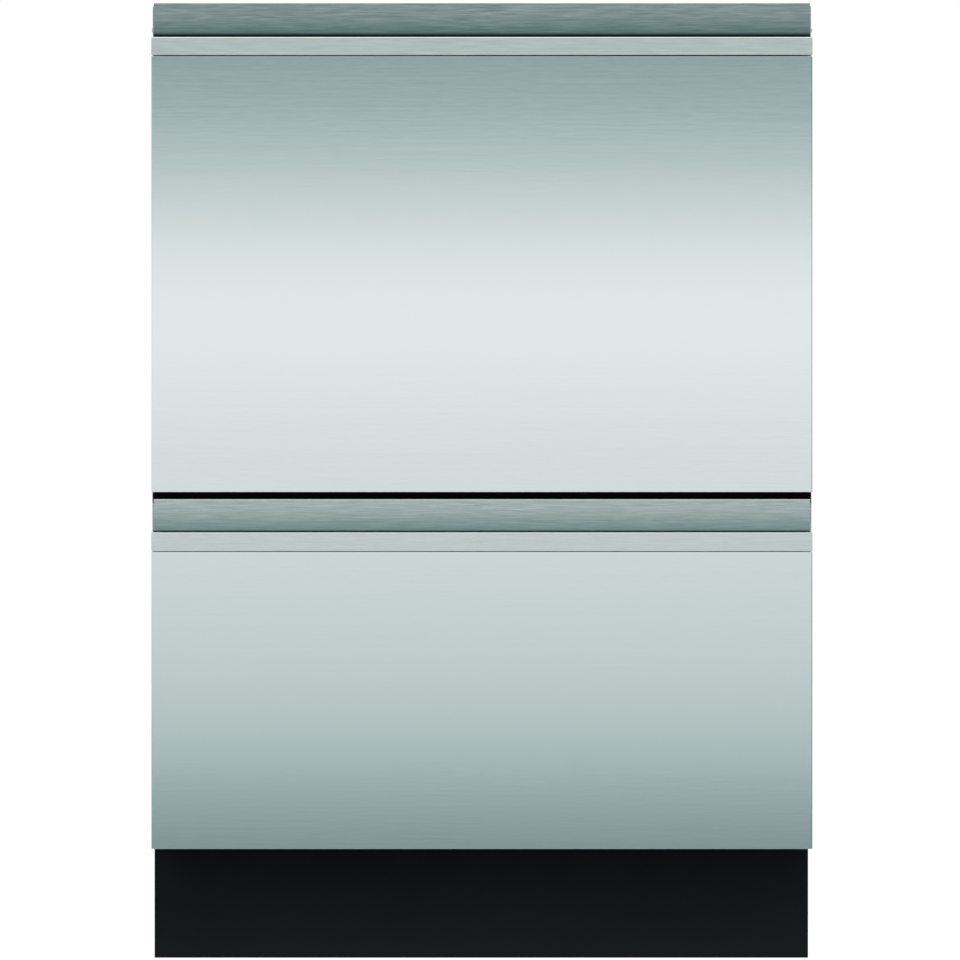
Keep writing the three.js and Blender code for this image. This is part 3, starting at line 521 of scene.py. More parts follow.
class Mold:
    """Closed shells gathered into one mesh. Each shell is placed by the current frame."""

    def __init__(self):
        self.bm = bmesh.new()
        self.frame = Matrix()

    def at(self, place, direction=UP):
        self.frame = facing(place, direction)
        return self

    def loft(self, rings, closed=False):
        """A skin over rings of points; closed joins the last ring to the first."""
        rows = [[self.bm.verts.new(self.frame @ Vector(p)) for p in row] for row in rings]
        for low, high in zip(rows, rows[1:] + rows[:1] if closed else rows[1:]):
            for i, j in zip(range(len(low)), [*range(1, len(low)), 0]):
                self.bm.faces.new((low[i], low[j], high[j], high[i]))
        if not closed:
            self.bm.faces.new(rows[0])
            self.bm.faces.new(rows[-1])
        return self

    def turned(self, profile, steps=32, closed=False):
        """(radius, height) points turned round the frame's Z axis; closed leaves a bore."""
        return self.loft([circle(radius, z, steps) for radius, z in profile], closed)

    def disc(self, radius, low, high, steps=32):
        return self.turned([(0, low), (radius, low), (radius, high), (0, high)], steps)

    def block(self, low, high, edge=0.0):
        """A box between two corners, with its upright edges and its rims rounded."""
        middle = ((low[0] + high[0]) / 2, (low[1] + high[1]) / 2)
        reach = ((high[0] - low[0]) / 2, (high[1] - low[1]) / 2)
        if not edge:
            return self.loft([ring(*reach, 0.0, z, middle, 0) for z in (low[2], high[2])])
        levels = [(edge, low[2]), (0.3 * edge, low[2] + 0.3 * edge), (0.0, low[2] + edge)]
        levels += [(0.0, high[2] - edge), (0.3 * edge, high[2] - 0.3 * edge), (edge, high[2])]
        return self.loft([
            ring(reach[0] - inset, reach[1] - inset, 1.6 * edge - inset, z, middle, 3)
            for inset, z in levels
        ])

    def around(self, count, low, high, edge=0.0):
        """The same box so many times round the frame's Z axis."""
        frame = self.frame
        for step in range(count):
            self.frame = frame @ Matrix.Rotation(2 * pi * step / count, 4, "Z")
            self.block(low, high, edge)
        self.frame = frame
        return self

    def pressed(self, reach_x, reach_y, corner, slope, height):
        """A bead pressed out of a sheet, with slopes that run into the sheet smoothly."""
        sunk, tightest = 0.3, 0.4
        rows = [ring(reach_x, reach_y, corner, -sunk, steps=5)]
        for share in spread(0, 1, 7):
            inset = slope * share
            reach = (reach_x - inset, reach_y - inset, max(corner - inset, tightest))
            rows.append(ring(*reach, height * share * share * (3 - 2 * share), steps=5))
        return self.loft(rows)

    def tube(self, path, radius, steps=12):
        """A round tube along a path of points."""
        points = [Vector(p) for p in path]
        rows = []
        for before, here, after in zip(points[:1] + points, points, points[1:] + points[-1:]):
            place = facing(here, after - before)
            rows.append([place @ Vector(p) for p in circle(radius, 0.0, steps)])
        return self.loft(rows)

    def take(self, mesh):
        """A mesh that is in metres, placed by the current frame."""
        copy = mesh.copy()
        copy.transform(self.frame @ Matrix.Scale(1 / MM, 4))
        self.bm.from_mesh(copy)
        bpy.data.meshes.remove(copy)
        return self

    def cast(self, sharp=35):
        """The finished mesh in metres, with faces that point outwards."""
        bmesh.ops.remove_doubles(self.bm, verts=self.bm.verts, dist=0.001)
        bmesh.ops.recalc_face_normals(self.bm, faces=self.bm.faces)
        self.bm.transform(Matrix.Scale(MM, 4))
        mesh = bpy.data.meshes.new("cast")
        self.bm.to_mesh(mesh)
        self.bm.free()
        return smooth(mesh, sharp)


def shown(name, mesh, coat, node, replaces=False):
    """A piece that moves with a CAD node, and may stand in its place. coat is the name of its
    finish."""
    mesh.materials.clear()
    mesh.materials.append(finish(coat))
    piece = bpy.data.objects.new(name, mesh)
    bpy.context.scene.collection.objects.link(piece)
    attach(piece, frame["nodes"][node]["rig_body"])
    SLOTS[node]
    if replaces:
        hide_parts(node)
    return piece


def worker_of(mesh):
    worker = bpy.data.objects.new("worker", mesh)
    bpy.context.scene.collection.objects.link(worker)
    return worker


def settled(worker):
    """The mesh that a worker object's modifiers make. The worker is removed."""
    depsgraph = bpy.context.evaluated_depsgraph_get()
    made = bpy.data.meshes.new_from_object(worker.evaluated_get(depsgraph), depsgraph=depsgraph)
    bpy.data.objects.remove(worker)
    return made


def node_mesh(node):
    """A CAD node's mesh, in metres, with its corners joined and its flat faces whole."""
    bm = bmesh.new()
    bm.from_mesh(frame["nodes"][node].data)
    bmesh.ops.remove_doubles(bm, verts=bm.verts, dist=2e-6)
    bmesh.ops.dissolve_limit(
        bm, angle_limit=radians(0.5), use_dissolve_boundaries=False,
        verts=bm.verts, edges=bm.edges,
    )
    mesh = bpy.data.meshes.new(node)
    bm.to_mesh(mesh)
    bm.free()
    return mesh


def rounded(mesh, radius, segments=2, angle=32):
    """The mesh with its sharp edges rounded, and shaded to match."""
    mesh.shade_smooth()
    worker = worker_of(mesh)
    bevel = worker.modifiers.new("Edges", "BEVEL")
    bevel.width = radius * MM
    bevel.segments = segments
    bevel.limit_method = "ANGLE"
    bevel.angle_limit = radians(angle)
    worker.modifiers.new("Flat faces", "WEIGHTED_NORMAL").weight = 100
    return settled(worker)


def dress(node, radius, segments=2, angle=32, mesh=None, coat=None):
    """A rounded copy of a CAD node, in its place. mesh is a copy that was altered first."""
    made = rounded(mesh or node_mesh(node), radius, segments, angle)
    coat = coat or SLOT_FINISHES.get(SLOTS[node], SLOTS[node])
    return shown(f"{node}_finished", made, coat, node, replaces=True)


def drilled(mesh, cutter):
    """The mesh with another closed mesh cut out of it."""
    worker, tool = worker_of(mesh), worker_of(cutter)
    opening = worker.modifiers.new("Opening", "BOOLEAN")
    opening.operation = "DIFFERENCE"
    opening.solver = "EXACT"
    opening.object = tool
    made = settled(worker)
    bpy.data.objects.remove(tool)
    return smooth(made)


# ---- Geometry trees ----------------------------------------------------------------------


def geometry_tree(name, fields, build):
    """The geometry tree called name. fields are its inputs' names and kinds."""
    tree = bpy.data.node_groups.get(name)
    if tree:
        return tree
    tree = bpy.data.node_groups.new(name, "GeometryNodeTree")
    for label, kind in (("Geometry", "Geometry"), *fields, ("Material", "Material")):
        tree.interface.new_socket(label, in_out="INPUT", socket_type=f"NodeSocket{kind}")
    tree.interface.new_socket("Geometry", in_out="OUTPUT", socket_type="NodeSocketGeometry")
    graph = Graph(tree)
    inlet = graph.add("NodeGroupInput")
    made = graph.add("GeometryNodeRealizeInstances", {"Geometry": build(graph, inlet)})
    values = {"Geometry": made, "Material": inlet["Material"]}
    graph.add("NodeGroupOutput", {"Geometry": graph.add("GeometryNodeSetMaterial", values)})
    return tree


def grown(tree, base, **inputs):
    """The plain mesh that a geometry tree makes from a base mesh and its named inputs."""
    worker = worker_of(base)
    modifier = worker.modifiers.new("Grow", "NODES")
    modifier.node_group = tree
    for socket in tree.interface.items_tree:
        label = socket.name.lower()
        if socket.in_out == "INPUT" and label in inputs:
            modifier[socket.identifier] = inputs[label]
    return settled(worker)


def swept(graph, path, sides, radius):
    """A round wire along a curve."""
    values = {"Resolution": sides, "Radius": radius}
    section = graph.add("GeometryNodeCurvePrimitiveCircle", values)
    values = {"Curve": path, "Profile Curve": section, "Fill Caps": True}
    return graph.add("GeometryNodeCurveToMesh", values)


def scatter_tree():
    """A shape on every point, its Z axis along the point's facing, turned at random."""

    def build(graph, inlet):
        kind, name = "GeometryNodeInputNamedAttribute", {"Name": "facing"}
        direction = graph.add(kind, name, data_type="FLOAT_VECTOR")
        kind = "FunctionNodeAlignRotationToVector"
        aligned = graph.add(kind, {"Vector": direction}, axis="Z")
        kind, values = "FunctionNodeRandomValue", {3: inlet["Turn"], 8: inlet["Seed"]}
        spin = graph.add(kind, values, outlet=1, data_type="FLOAT")
        turn = graph.add("FunctionNodeAxisAngleToRotation", {"Angle": spin})
        kind, values = "FunctionNodeRotateRotation", {0: aligned, 1: turn}
        turned = graph.add(kind, values, rotation_space="LOCAL")
        shape = graph.add("GeometryNodeObjectInfo", {"Object": inlet["Shape"]}, outlet=4)
        values = {0: inlet, 2: shape, 5: turned, 6: inlet["Size"]}
        return graph.add("GeometryNodeInstanceOnPoints", values)

    fields = (("Shape", "Object"), ("Size", "Float"), ("Turn", "Float"), ("Seed", "Int"))
    return geometry_tree("Scatter", fields, build)


def wire_tree():
    """Round wires along the lines of a mesh, with rounded bends."""

    def build(graph, inlet):
        line = graph.add("GeometryNodeMeshToCurve", {"Mesh": inlet})
        values = {"Curve": line, "Count": 4, "Radius": inlet["Bend"], "Limit Radius": True}
        bent = graph.add("GeometryNodeFilletCurve", values, mode="POLY")
        return swept(graph, bent, inlet["Sides"], inlet["Radius"])

    fields = (("Radius", "Float"), ("Bend", "Float"), ("Sides", "Int"))
    return geometry_tree("Round wires", fields, build)


def thread_tree():
    """A ridge that winds up round an axis like a screw thread."""

    def build(graph, inlet):
        values = {
            "Resolution": 20, "Rotations": inlet["Turns"], "Start Radius": inlet["Radius"],
            "End Radius": inlet["Radius"], "Height": inlet["Height"],
        }
        spiral = graph.add("GeometryNodeCurveSpiral", values)
        return swept(graph, spiral, 4, inlet["Depth"])

    fields = (("Turns", "Float"), ("Radius", "Float"), ("Height", "Float"), ("Depth", "Float"))
    return geometry_tree("Thread", fields, build)


def scattered(shape, places, direction=UP, scale=1.0, turn=0.0, seed=1, coat=None):
    """Copies of a shape that all face one way, as one plain mesh."""
    points = bpy.data.meshes.new("points")
    points.from_pydata([tuple(part * MM for part in place) for place in places], [], [])
    facings = points.attributes.new("facing", "FLOAT_VECTOR", "POINT")
    for item in facings.data:
        item.vector = direction
    model = worker_of(shape)
    inputs = {"shape": model, "size": scale, "turn": turn, "seed": seed}
    made = grown(scatter_tree(), points, **inputs, material=finish(coat))
    bpy.data.objects.remove(model)
    return smooth(made)


def wired(lines, radius, bend, sides, coat):
    """Round wires along lines of points, as one plain mesh. A line is (points, is a loop)."""
    points, edges = [], []
    for line, loop in lines:
        first = len(points)
        points += [tuple(part * MM for part in point) for point in line]
        edges += [(i, i + 1) for i in range(first, len(points) - 1)]
        if loop:
            edges.append((len(points) - 1, first))
    mesh = bpy.data.meshes.new("lines")
    mesh.from_pydata(points, edges, [])
    inputs = {"radius": radius * MM, "bend": bend * MM, "sides": sides}
    return smooth(grown(wire_tree(), mesh, **inputs, material=finish(coat)), 60)


def thread(turns, radius, height, depth):
    inputs = {"radius": radius * MM, "height": height * MM, "depth": depth * MM}
    return grown(thread_tree(), bpy.data.meshes.new("seed"), turns=turns, **inputs)


# ---- Fasteners ---------------------------------------------------------------------------


def cross_head():
    """A pan head with a cross recess, of radius 1."""
    corners = [
        (radians(quarter * 90 + angle), reach)
        for quarter in range(4) for angle, reach in ((-12, 0.55), (12, 0.55), (45, 0.16))
    ]
    rows = [
        [((radius or reach) * cos(a), (radius or reach) * sin(a), z) for a, reach in corners]
        for radius, z in (
            (1.0, -0.2), (1.0, 0.12), (0.9, 0.3), (0.72, 0.42), (None, 0.44), (None, 0.12)
        )
    ]
    return Mold().loft(rows).cast()


def hex_head():
    """A hexagon head on a washer, of radius 1 over the washer."""
    mold = Mold().turned([(0.0, -0.2), (1.0, -0.2), (1.0, 0.1), (0.9, 0.16), (0.0, 0.16)], 24)
    mold.turned([(0.68, 0.1), (0.68, 0.5), (0.6, 0.6)], 6)
    return mold.disc(0.42, 0.5, 0.64, 18).cast()


def rivet_head():
    """A low dome with a dimple, of radius 1."""
    profile = [(0, -0.2), (1, -0.2), (1, 0.05), (0.9, 0.22), (0.6, 0.36), (0.32, 0.4)]
    return Mold().turned([*profile, (0.22, 0.2), (0.0, 0.2)], 20).cast()


def fastened(name, shape, places, direction, node, radius=None, coat="zinc"):
    """Fasteners that move with a CAD node."""
    radius = radius or size("screw_head")
    mesh = scattered(shape, places, direction, radius, 2 * pi, len(places), coat)
    return shown(name, mesh, coat, node)


# ---- Steel fronts ------------------------------------------------------------------------


def pull_painted_shade(drawer):
    """Where the painted shade on a finger pull lies: the rim and the back of its lip, the height
    of its painted highlight at the bead, how far down its mouth is painted black, and the share
    of daylight in the painted shade on its band."""
    pull = Extent(f"{drawer}_finger_pull")
    _, rise, painted_highlight, depth, daylight = FRONTS[drawer]
    rim = Extent(f"{drawer}_door_frame").z1 + rise
    return rim, pull.y0 + 4, pull.z1 + painted_highlight, depth, daylight


class DISHWASHER_OT_fronts(bpy.types.Operator):
    """Brushed steel skins and finger pulls of both drawers"""

    bl_idname = "dishwasher.fronts"
    bl_label = "Steel Fronts"

    def execute(self, context):
        for drawer in DRAWERS:
            self.skin(drawer)
            self.pull(drawer)
        return {"FINISHED"}

    def skin(self, drawer):
        """The skin, whose top edge leaves a fine seam below the pull."""
        node = f"{drawer}_door_skin"
        skin, top, seam = node_mesh(node), Extent(node).z1, FRONTS[drawer][0]
        for vertex in skin.vertices:
            if vertex.co.z > (top - 0.5) * MM:
                vertex.co.z = (Extent(f"{drawer}_finger_pull").z0 - seam) * MM
        dress(node, size("steel_edge"), 3, mesh=skin)

    def pull(self, drawer):
        """A folded sheet: the lip, the scooped floor of the pocket and the band behind it."""
        node = f"{drawer}_finger_pull"
        pull = Extent(node)
        rim, lip_back, *_ = pull_painted_shade(drawer)
        band, sheet, scoop, fold = pull.y0 + 24, 1.5, 9, 1.2
        start, end, low = lip_back - 1, band + sheet, pull.z0
        floor, cheek_top = low + sheet, Extent(f"{drawer}_door_frame").z1 - 1

        def arc(y, z, radius, start, end, steps=6):
            bearings = [radians(a) for a in spread(start, end, steps)]
            return [(y + radius * cos(a), z + radius * sin(a)) for a in bearings]

        lip = [(pull.y0, low + 0.2), (lip_back, low + 0.2)]
        lip += arc(lip_back - fold, rim - fold, fold, 0, 90)
        lip += arc(pull.y0 + fold, rim - fold, fold, 90, 180)
        upright = [(start, low), (end, low), (end, pull.z1 - 6), (band + 4, pull.z1 - 6)]
        upright += arc(band + 3, pull.z1 - 1, 1, 0, 90, 4)
        upright += arc(band + 0.3, pull.z1 - 0.3, 0.3, 90, 180, 5)
        upright += arc(band - scoop, floor + scoop, scoop, 0, -90, 12)
        upright.append((start, floor))
        cheek = [(start, low), (end, low), (end, cheek_top), (start, cheek_top)]
        reach = pull.x1 - 2
        mold = Mold()
        for outline, left, right in (
            (lip, pull.x0, pull.x1), (upright, -reach, reach),
            (cheek, -reach, -reach + sheet), (cheek, reach - sheet, reach),
        ):
            mold.loft([[(x, y, z) for y, z in outline] for x in (left, right)])
        # Its finish carries painted shade on the band behind the lip.
        edge, coat = size("steel_edge") * 0.6, f"brushed_pull_{drawer}"
        dress(node, edge, mesh=mold.cast(), coat=coat)


class DISHWASHER_OT_door_frames(bpy.types.Operator):
    """Moulded frames behind the fronts, with their ribs and screws"""

    bl_idname = "dishwasher.door_frames"
    bl_label = "Door Frames"

    def execute(self, context):
        for drawer in DRAWERS:
            dress(f"{drawer}_door_frame", size("moulded_edge"))
            self.ribs(drawer)
            self.screws(drawer)
        return {"FINISHED"}

    def ribs(self, drawer):
        """Stiffening ribs on both sides of the rear box and across its underside."""
        node, mold = f"{drawer}_door_frame", Mold()
        box, skin, tub = Extent(node), Extent(f"{drawer}_door_skin"), Extent(f"{drawer}_tub")
        side, start, end = tub.x1 - 4, skin.y1 + 14, box.y1 - 2
        for sign in SIDES.values():
            left, right = sorted((sign * (side - 1), sign * (side + 2.6)))
            for z in spread(tub.z0 + 14, box.z1 - 14, 9):
                mold.block((left, start, z), (right, end, z + 1.8), 0.4)
        for x in spread(-side + 20, side - 20, 15):
            mold.block((x, start, tub.z0 - 3), (x + 2, end, tub.z0 + 1), 0.4)
        shown(f"{drawer}_frame_ribs", mold.cast(), "black_plastic", node)

    def screws(self, drawer):
        skin, y = Extent(f"{drawer}_door_skin"), Extent(f"{drawer}_finger_pull").y1 + 0.2
        places = [
            (sign * (skin.x1 - 10), y, z)
            for z in spread(skin.z0 + 24, skin.z1 - 24, 4) for sign in SIDES.values()
        ]
        places += [(x, y, skin.z0 + 14) for x in spread(skin.x0 + 60, skin.x1 - 60, 6)]
        name, node = f"{drawer}_frame_screws", f"{drawer}_door_frame"
        fastened(name, cross_head(), places, BACK, node)


class DISHWASHER_OT_controls(bpy.types.Operator):
    """Control panels with their buttons, display and indicator lamps"""

    bl_idname = "dishwasher.controls"
    bl_label = "Controls"

    def execute(self, context):
        for drawer in DRAWERS:
            dress(f"{drawer}_control_panel", 0.5)
            self.display(drawer)
            self.lamps(drawer)
            for button, symbol in (("power", self.power_sign), ("start", self.start_sign)):
                node = f"{drawer}_{button}_button"
                dress(node, 0.6, 3)
                top = Extent(node)
                mold = Mold().at((top.x, top.y, top.z1 - 0.1))
                symbol(mold, 0.22)
                shown(f"{drawer}_{button}_sign", mold.cast(), "gloss_black", node)
        return {"FINISHED"}

    def power_sign(self, mold, height):
        """A broken ring with a stroke in its gap."""
        inner, outer, gap = 2.6, 3.1, radians(32)
        section = ((inner, 0), (outer, 0), (outer, height), (inner, height))
        mold.loft([
            [(r * cos(a), r * sin(a), z) for r, z in section]
            for a in spread(pi / 2 + gap, 5 * pi / 2 - gap, 25)
        ])
        mold.block((-0.25, 0.9, 0), (0.25, 3.6, height))

    def start_sign(self, mold, height):
        """A triangle and two bars."""
        triangle = ((-3, -2), (0.2, 0), (-3, 2))
        mold.loft([[(x, y, z) for x, y in triangle] for z in (0, height)])
        for x in (1.4, 2.9):
            mold.block((x, -2, 0), (x + 0.8, 2, height))

    def display(self, drawer):
        """A window with three unlit seven-segment figures, a row of ticks and three dots."""
        node = f"{drawer}_control_panel"
        panel = Extent(node)
        glass = Mold().at((0, panel.y, panel.z1)).block((-46, -8, -0.5), (46, 8, 0.25), 0.2)
        shown(f"{drawer}_display", glass.cast(), "display_glass", node)
        marks = Mold().at((0, panel.y, panel.z1 + 0.2))
        for figure in (-9, 0, 9):
            self.segments(marks, figure, 2.4, 0.55)
        for x in spread(-38, -20, 5):
            marks.block((x, -3, 0), (x + 0.5, 3, 0.1))
        for x in (22, 30, 38):
            marks.at((x, panel.y, panel.z1 + 0.2)).disc(1.3, 0, 0.1, 20)
        shown(f"{drawer}_display_marks", marks.cast(), "lamp_lens", node)

    def segments(self, mold, x, reach, width):
        """The seven strokes of one figure."""
        half, run, thick = width / 2, reach - width, 0.1
        for y in (-2 * reach, 0, 2 * reach):
            mold.block((x - run, y - half, 0), (x + run, y + half, thick))
        for side in (x - reach, x + reach):
            for y in (-reach, reach):
                mold.block((side - half, y - run, 0), (side + half, y + run, thick))

    def lamps(self, drawer):
        """Lenses on both sides of the display, and a printed tick before those on the left."""
        node = f"{drawer}_control_panel"
        panel, ticks, left = Extent(node), Mold(), spread(-240, -90, 7)
        places = [(x, panel.y, panel.z1) for x in (*spread(80, 150, 6), *left)]
        lens = Mold().turned([(0, -0.3), (1, -0.3), (1, 0.05), (0.8, 0.2), (0, 0.25)], 16)
        fastened(f"{drawer}_lamps", lens.cast(), places, UP, node, 1.3, "lamp_lens")
        for x in left:
            ticks.at((x, panel.y - 5, panel.z1 - 0.05)).block((-4, -0.25, 0), (4, 0.25, 0.12))
        shown(f"{drawer}_ticks", ticks.cast(), "print_white", node)


# ---- Tubs and wash systems ---------------------------------------------------------------


class DISHWASHER_OT_tubs(bpy.types.Operator):
    """Moulded tubs with fluted walls, dished floors and ribs"""

    bl_idname = "dishwasher.tubs"
    bl_label = "Tubs"

    wall = 4
    flange = 12
    corner = 40
    foot_radius = 14
    flute_depth = 2.4

    def execute(self, context):
        for drawer in DRAWERS:
            self.shell(drawer)
            self.fittings(drawer)
            self.damping_sheet(drawer)
        return {"FINISHED"}

    def shell(self, drawer):
        """One closed skin: from the sump up the outside, over the rim and down the inside."""
        node, sump, edge = f"{drawer}_tub", 60.3, 0.9
        tub, foot, wall, flange = Extent(node), self.foot_radius, self.wall, self.flange
        half, rim = ((tub.x1 - tub.x0) / 2, (tub.y1 - tub.y0) / 2), tub.z1

        def row(inset, z, dent=0.0):
            fluted = [(share, depth * dent * self.flute_depth) for share, depth in FLUTES]
            plain = [(share, 0.0) for share, _ in FLUTES]
            return ring(
                half[0] - inset, half[1] - inset, self.corner - inset, z, (tub.x, tub.y),
                steps=10, sides=(fluted, fluted, plain, fluted),
            )

        def eye(z):
            return ring(sump, sump, sump, z, (tub.x, tub.y), 10, (((0.5, 0.0),) * 30,) * 4)

        def bend(inset, radius, bottom):
            return [
                row(inset + radius * (1 - sin(a)), bottom + radius * (1 - cos(a)))
                for a in spread(0, pi / 2, 6)
            ]

        def flutes(inset):
            a, b, c, d = tub.z0 + foot + 26, tub.z0 + foot + 38, rim - 46, rim - 34
            steps = [(a, 0), ((a + b) / 2, 0.5), (b, 1), (c, 1), ((c + d) / 2, 0.5), (d, 0)]
            return [row(inset, z, dent) for z, dent in steps]

        rolled = [
            (0, -6), (0, -edge), (edge, 0), (4, 0), (4.6, -0.5), (7, -0.5), (7.6, 0),
            (flange - edge, 0), (flange, -edge), (flange, edge - wall), (flange - edge, -wall),
            (wall + 2, -wall), (wall, -wall - 2),
        ]
        rows = [eye(tub.z0), *bend(0, foot, tub.z0), *flutes(0)]
        rows += [row(inset, rim + rise) for inset, rise in rolled]
        rows += [*flutes(wall)[::-1], *bend(wall, foot - wall, tub.z0 + wall)[::-1]]
        shell = Mold().loft([*rows, eye(tub.z0 + wall)], closed=True).cast()
        shown(f"{node}_shell", self.windowed(shell, drawer), "tub_plastic", node, True)

    def windowed(self, shell, drawer):
        """The shell with the dispenser's window in its front wall."""
        cup, tub, lip = Extent(f"{drawer}_dispenser"), Extent(f"{drawer}_tub"), 3.6
        low = (cup.x0 + lip, tub.y0 - 5, cup.z0 + lip)
        high = (cup.x1 - lip, tub.y0 + 2 * self.wall, cup.z1 - lip)
        return drilled(shell, Mold().block(low, high).cast())

    def fittings(self, drawer):
        """Inside: rack pads, an air vent, an inlet spout and level marks. Outside: ribs."""
        node, wall = f"{drawer}_tub", self.wall
        tub, rack = Extent(node), Extent(f"{drawer}_rack")
        floor, back = tub.z0 + wall, tub.y1 - wall
        mold = Mold().at((-150, back + 0.3, tub.z1 - 62), FORWARD)
        vent = [(0, -0.5), (21, -0.5), (21, 2), (19.5, 3.4), (17, 3.4), (16, 1.6), (0, 1.6)]
        mold.turned(vent, 40)
        for z in spread(-12, 12, 7):
            reach = sqrt(16.4 ** 2 - z ** 2)
            mold.block((-reach, z - 0.7, 1), (reach, z + 0.7, 3.1))
        mold.at((tub.x0 + wall - 0.3, -90, tub.z1 - 40), (1, 0, 0))
        spout = [(0, -0.5), (14, -0.5), (14, 2.5), (11, 4), (8, 7), (8, 9), (5, 9), (5, 3)]
        mold.turned([*spout, (0, 3)]).at((0, 0, 0))
        for z in spread(tub.z - 10, tub.z + 30, 5):
            mold.block((96, back - 0.5, z), (112, back + 1, z + 0.8))
        for x in (rack.x0 + 2, rack.x1 - 2):
            for y in (rack.y0 + 29, rack.y1 - 29):
                for start in (y - 9, y + 4):
                    mold.block((x - 7, start, floor - 1), (x + 4, start + 5, floor + 6), 1)
        for x in spread(tub.x0 + 60, tub.x1 - 60, 9):
            mold.block((x, tub.y1 - 2, tub.z0 + 16), (x + 2.4, tub.y1 + 5, tub.z1 - 12), 0.6)
        for z in (tub.z0 + 40, tub.z1 - 12):
            mold.block((tub.x0 + 52, tub.y1 - 2, z), (tub.x1 - 52, tub.y1 + 6, z + 2.4), 0.6)
        mold.at((tub.x, tub.y, tub.z0)).around(20, (92, -1.1, -4), (214, 1.1, 1), 0.4)
        shown(f"{node}_fittings", mold.cast(), "tub_plastic", node)

    def damping_sheet(self, drawer):
        """Heavy sheet stuck to the back of the tub between its ribs."""
        tub, mold = Extent(f"{drawer}_tub"), Mold()
        edges = spread(tub.x0 + 60, tub.x1 - 60, 9)
        for left, right in zip(edges, edges[1:]):
            low = (left + 6, tub.y1 - 2, tub.z0 + 50)
            mold.block(low, (right - 4, tub.y1 + 1.8, tub.z1 - 22), 0.6)
        shown(f"{drawer}_damping_sheet", mold.cast(), "damping", f"{drawer}_tub")


class DISHWASHER_OT_wash_pumps(bpy.types.Operator):
    """Wash pumps with their fins, terminals and drain pipes"""

    bl_idname = "dishwasher.wash_pumps"
    bl_label = "Wash Pumps"

    def execute(self, context):
        for drawer in DRAWERS:
            self.pump(drawer)
            self.terminals(drawer)
            self.drain(drawer)
        return {"FINISHED"}

    def pump(self, drawer):
        node = f"{drawer}_wash_pump"
        pump, tub = Extent(node), Extent(f"{drawer}_tub")
        shoulder, floor, top = tub.z0 - 0.3 - pump.z0, tub.z0 + 4 - pump.z0, pump.z1 - pump.z0
        profile = [
            (0, 2), (18, 2), (20, 0), (48, 0), (53, 1.6), (59, 5), (61, 8), (61, 24), (62, 25),
            (62, 28), (60, 29), (60, 34), (66, 36), (78, 40), (84, shoulder - 12),
            (86, shoulder - 10), (86, shoulder - 1), (85, shoulder), (60, shoulder),
            (60, floor - 0.8), (59.2, floor), (56, floor), (54, floor - 3), (20, floor - 5),
            (17, floor), (16.4, floor + 2), (11, floor + 2), (11, top - 3), (9.4, top),
            (5, top), (4, top - 2), (0, top - 2),
        ]
        mold = Mold().at((pump.x, pump.y, pump.z0)).turned(profile, 64)
        mold.around(30, (58, -0.9, 26), (80, 0.9, shoulder - 9))
        mold.around(12, (22, -1.2, 0), (47, 1.2, 3), 0.4)
        shown(f"{node}_finished", mold.cast(), "pump_plastic", node, True)
        places = [
            (pump.x + 81 * cos(a), pump.y + 81 * sin(a), pump.z0 + shoulder - 10)
            for a in (radians(15 + 45 * i) for i in range(8))
        ]
        fastened(f"{drawer}_pump_screws", hex_head(), places, DOWN, node, 4.5)

    def terminals(self, drawer):
        """A plug block with blade terminals on the motor's side."""
        node = f"{drawer}_wash_pump"
        pump = Extent(node)
        place = (pump.x + 58, pump.y, pump.z0 + 14)
        plug = Mold().at(place, (1, 0, 0)).block((-16, -7, 0), (16, 7, 12), 1)
        plug.block((-13, -4.5, 10), (13, 4.5, 15), 0.6)
        shown(f"{drawer}_pump_plug", plug.cast(), "arm_plastic", node)
        blades = Mold().at(place, (1, 0, 0))
        for x in spread(-9, 9, 4):
            blades.block((x - 1.6, -0.4, 12), (x + 1.6, 0.4, 19))
        shown(f"{drawer}_pump_blades", blades.cast(), "nickel", node)

    def drain(self, drawer):
        """A pipe that leads from the pump to a spigot at the tub's back."""
        pump, tub = Extent(f"{drawer}_wash_pump"), Extent(f"{drawer}_tub")
        bend, corner = 26, Vector((-46, tub.y1 - 70, pump.z0 + 34))
        path = [Vector((corner.x, pump.y + 44, corner.z)), corner - Vector((0, bend, 0))]
        centre = corner - Vector((bend, bend, 0))
        path += [centre + bend * Vector((cos(a), sin(a), 0)) for a in spread(0, pi / 2, 9)[1:]]
        path.append(corner - Vector((90, 0, 0)))
        mold = Mold().tube(path, 8, 20)
        for back in (6, 14):
            mold.at(path[-1] + Vector((back, 0, 0)), (-1, 0, 0)).disc(10, 0, 3, 24)
        shown(f"{drawer}_drain_pipe", mold.cast(), "rubber", f"{drawer}_tub")


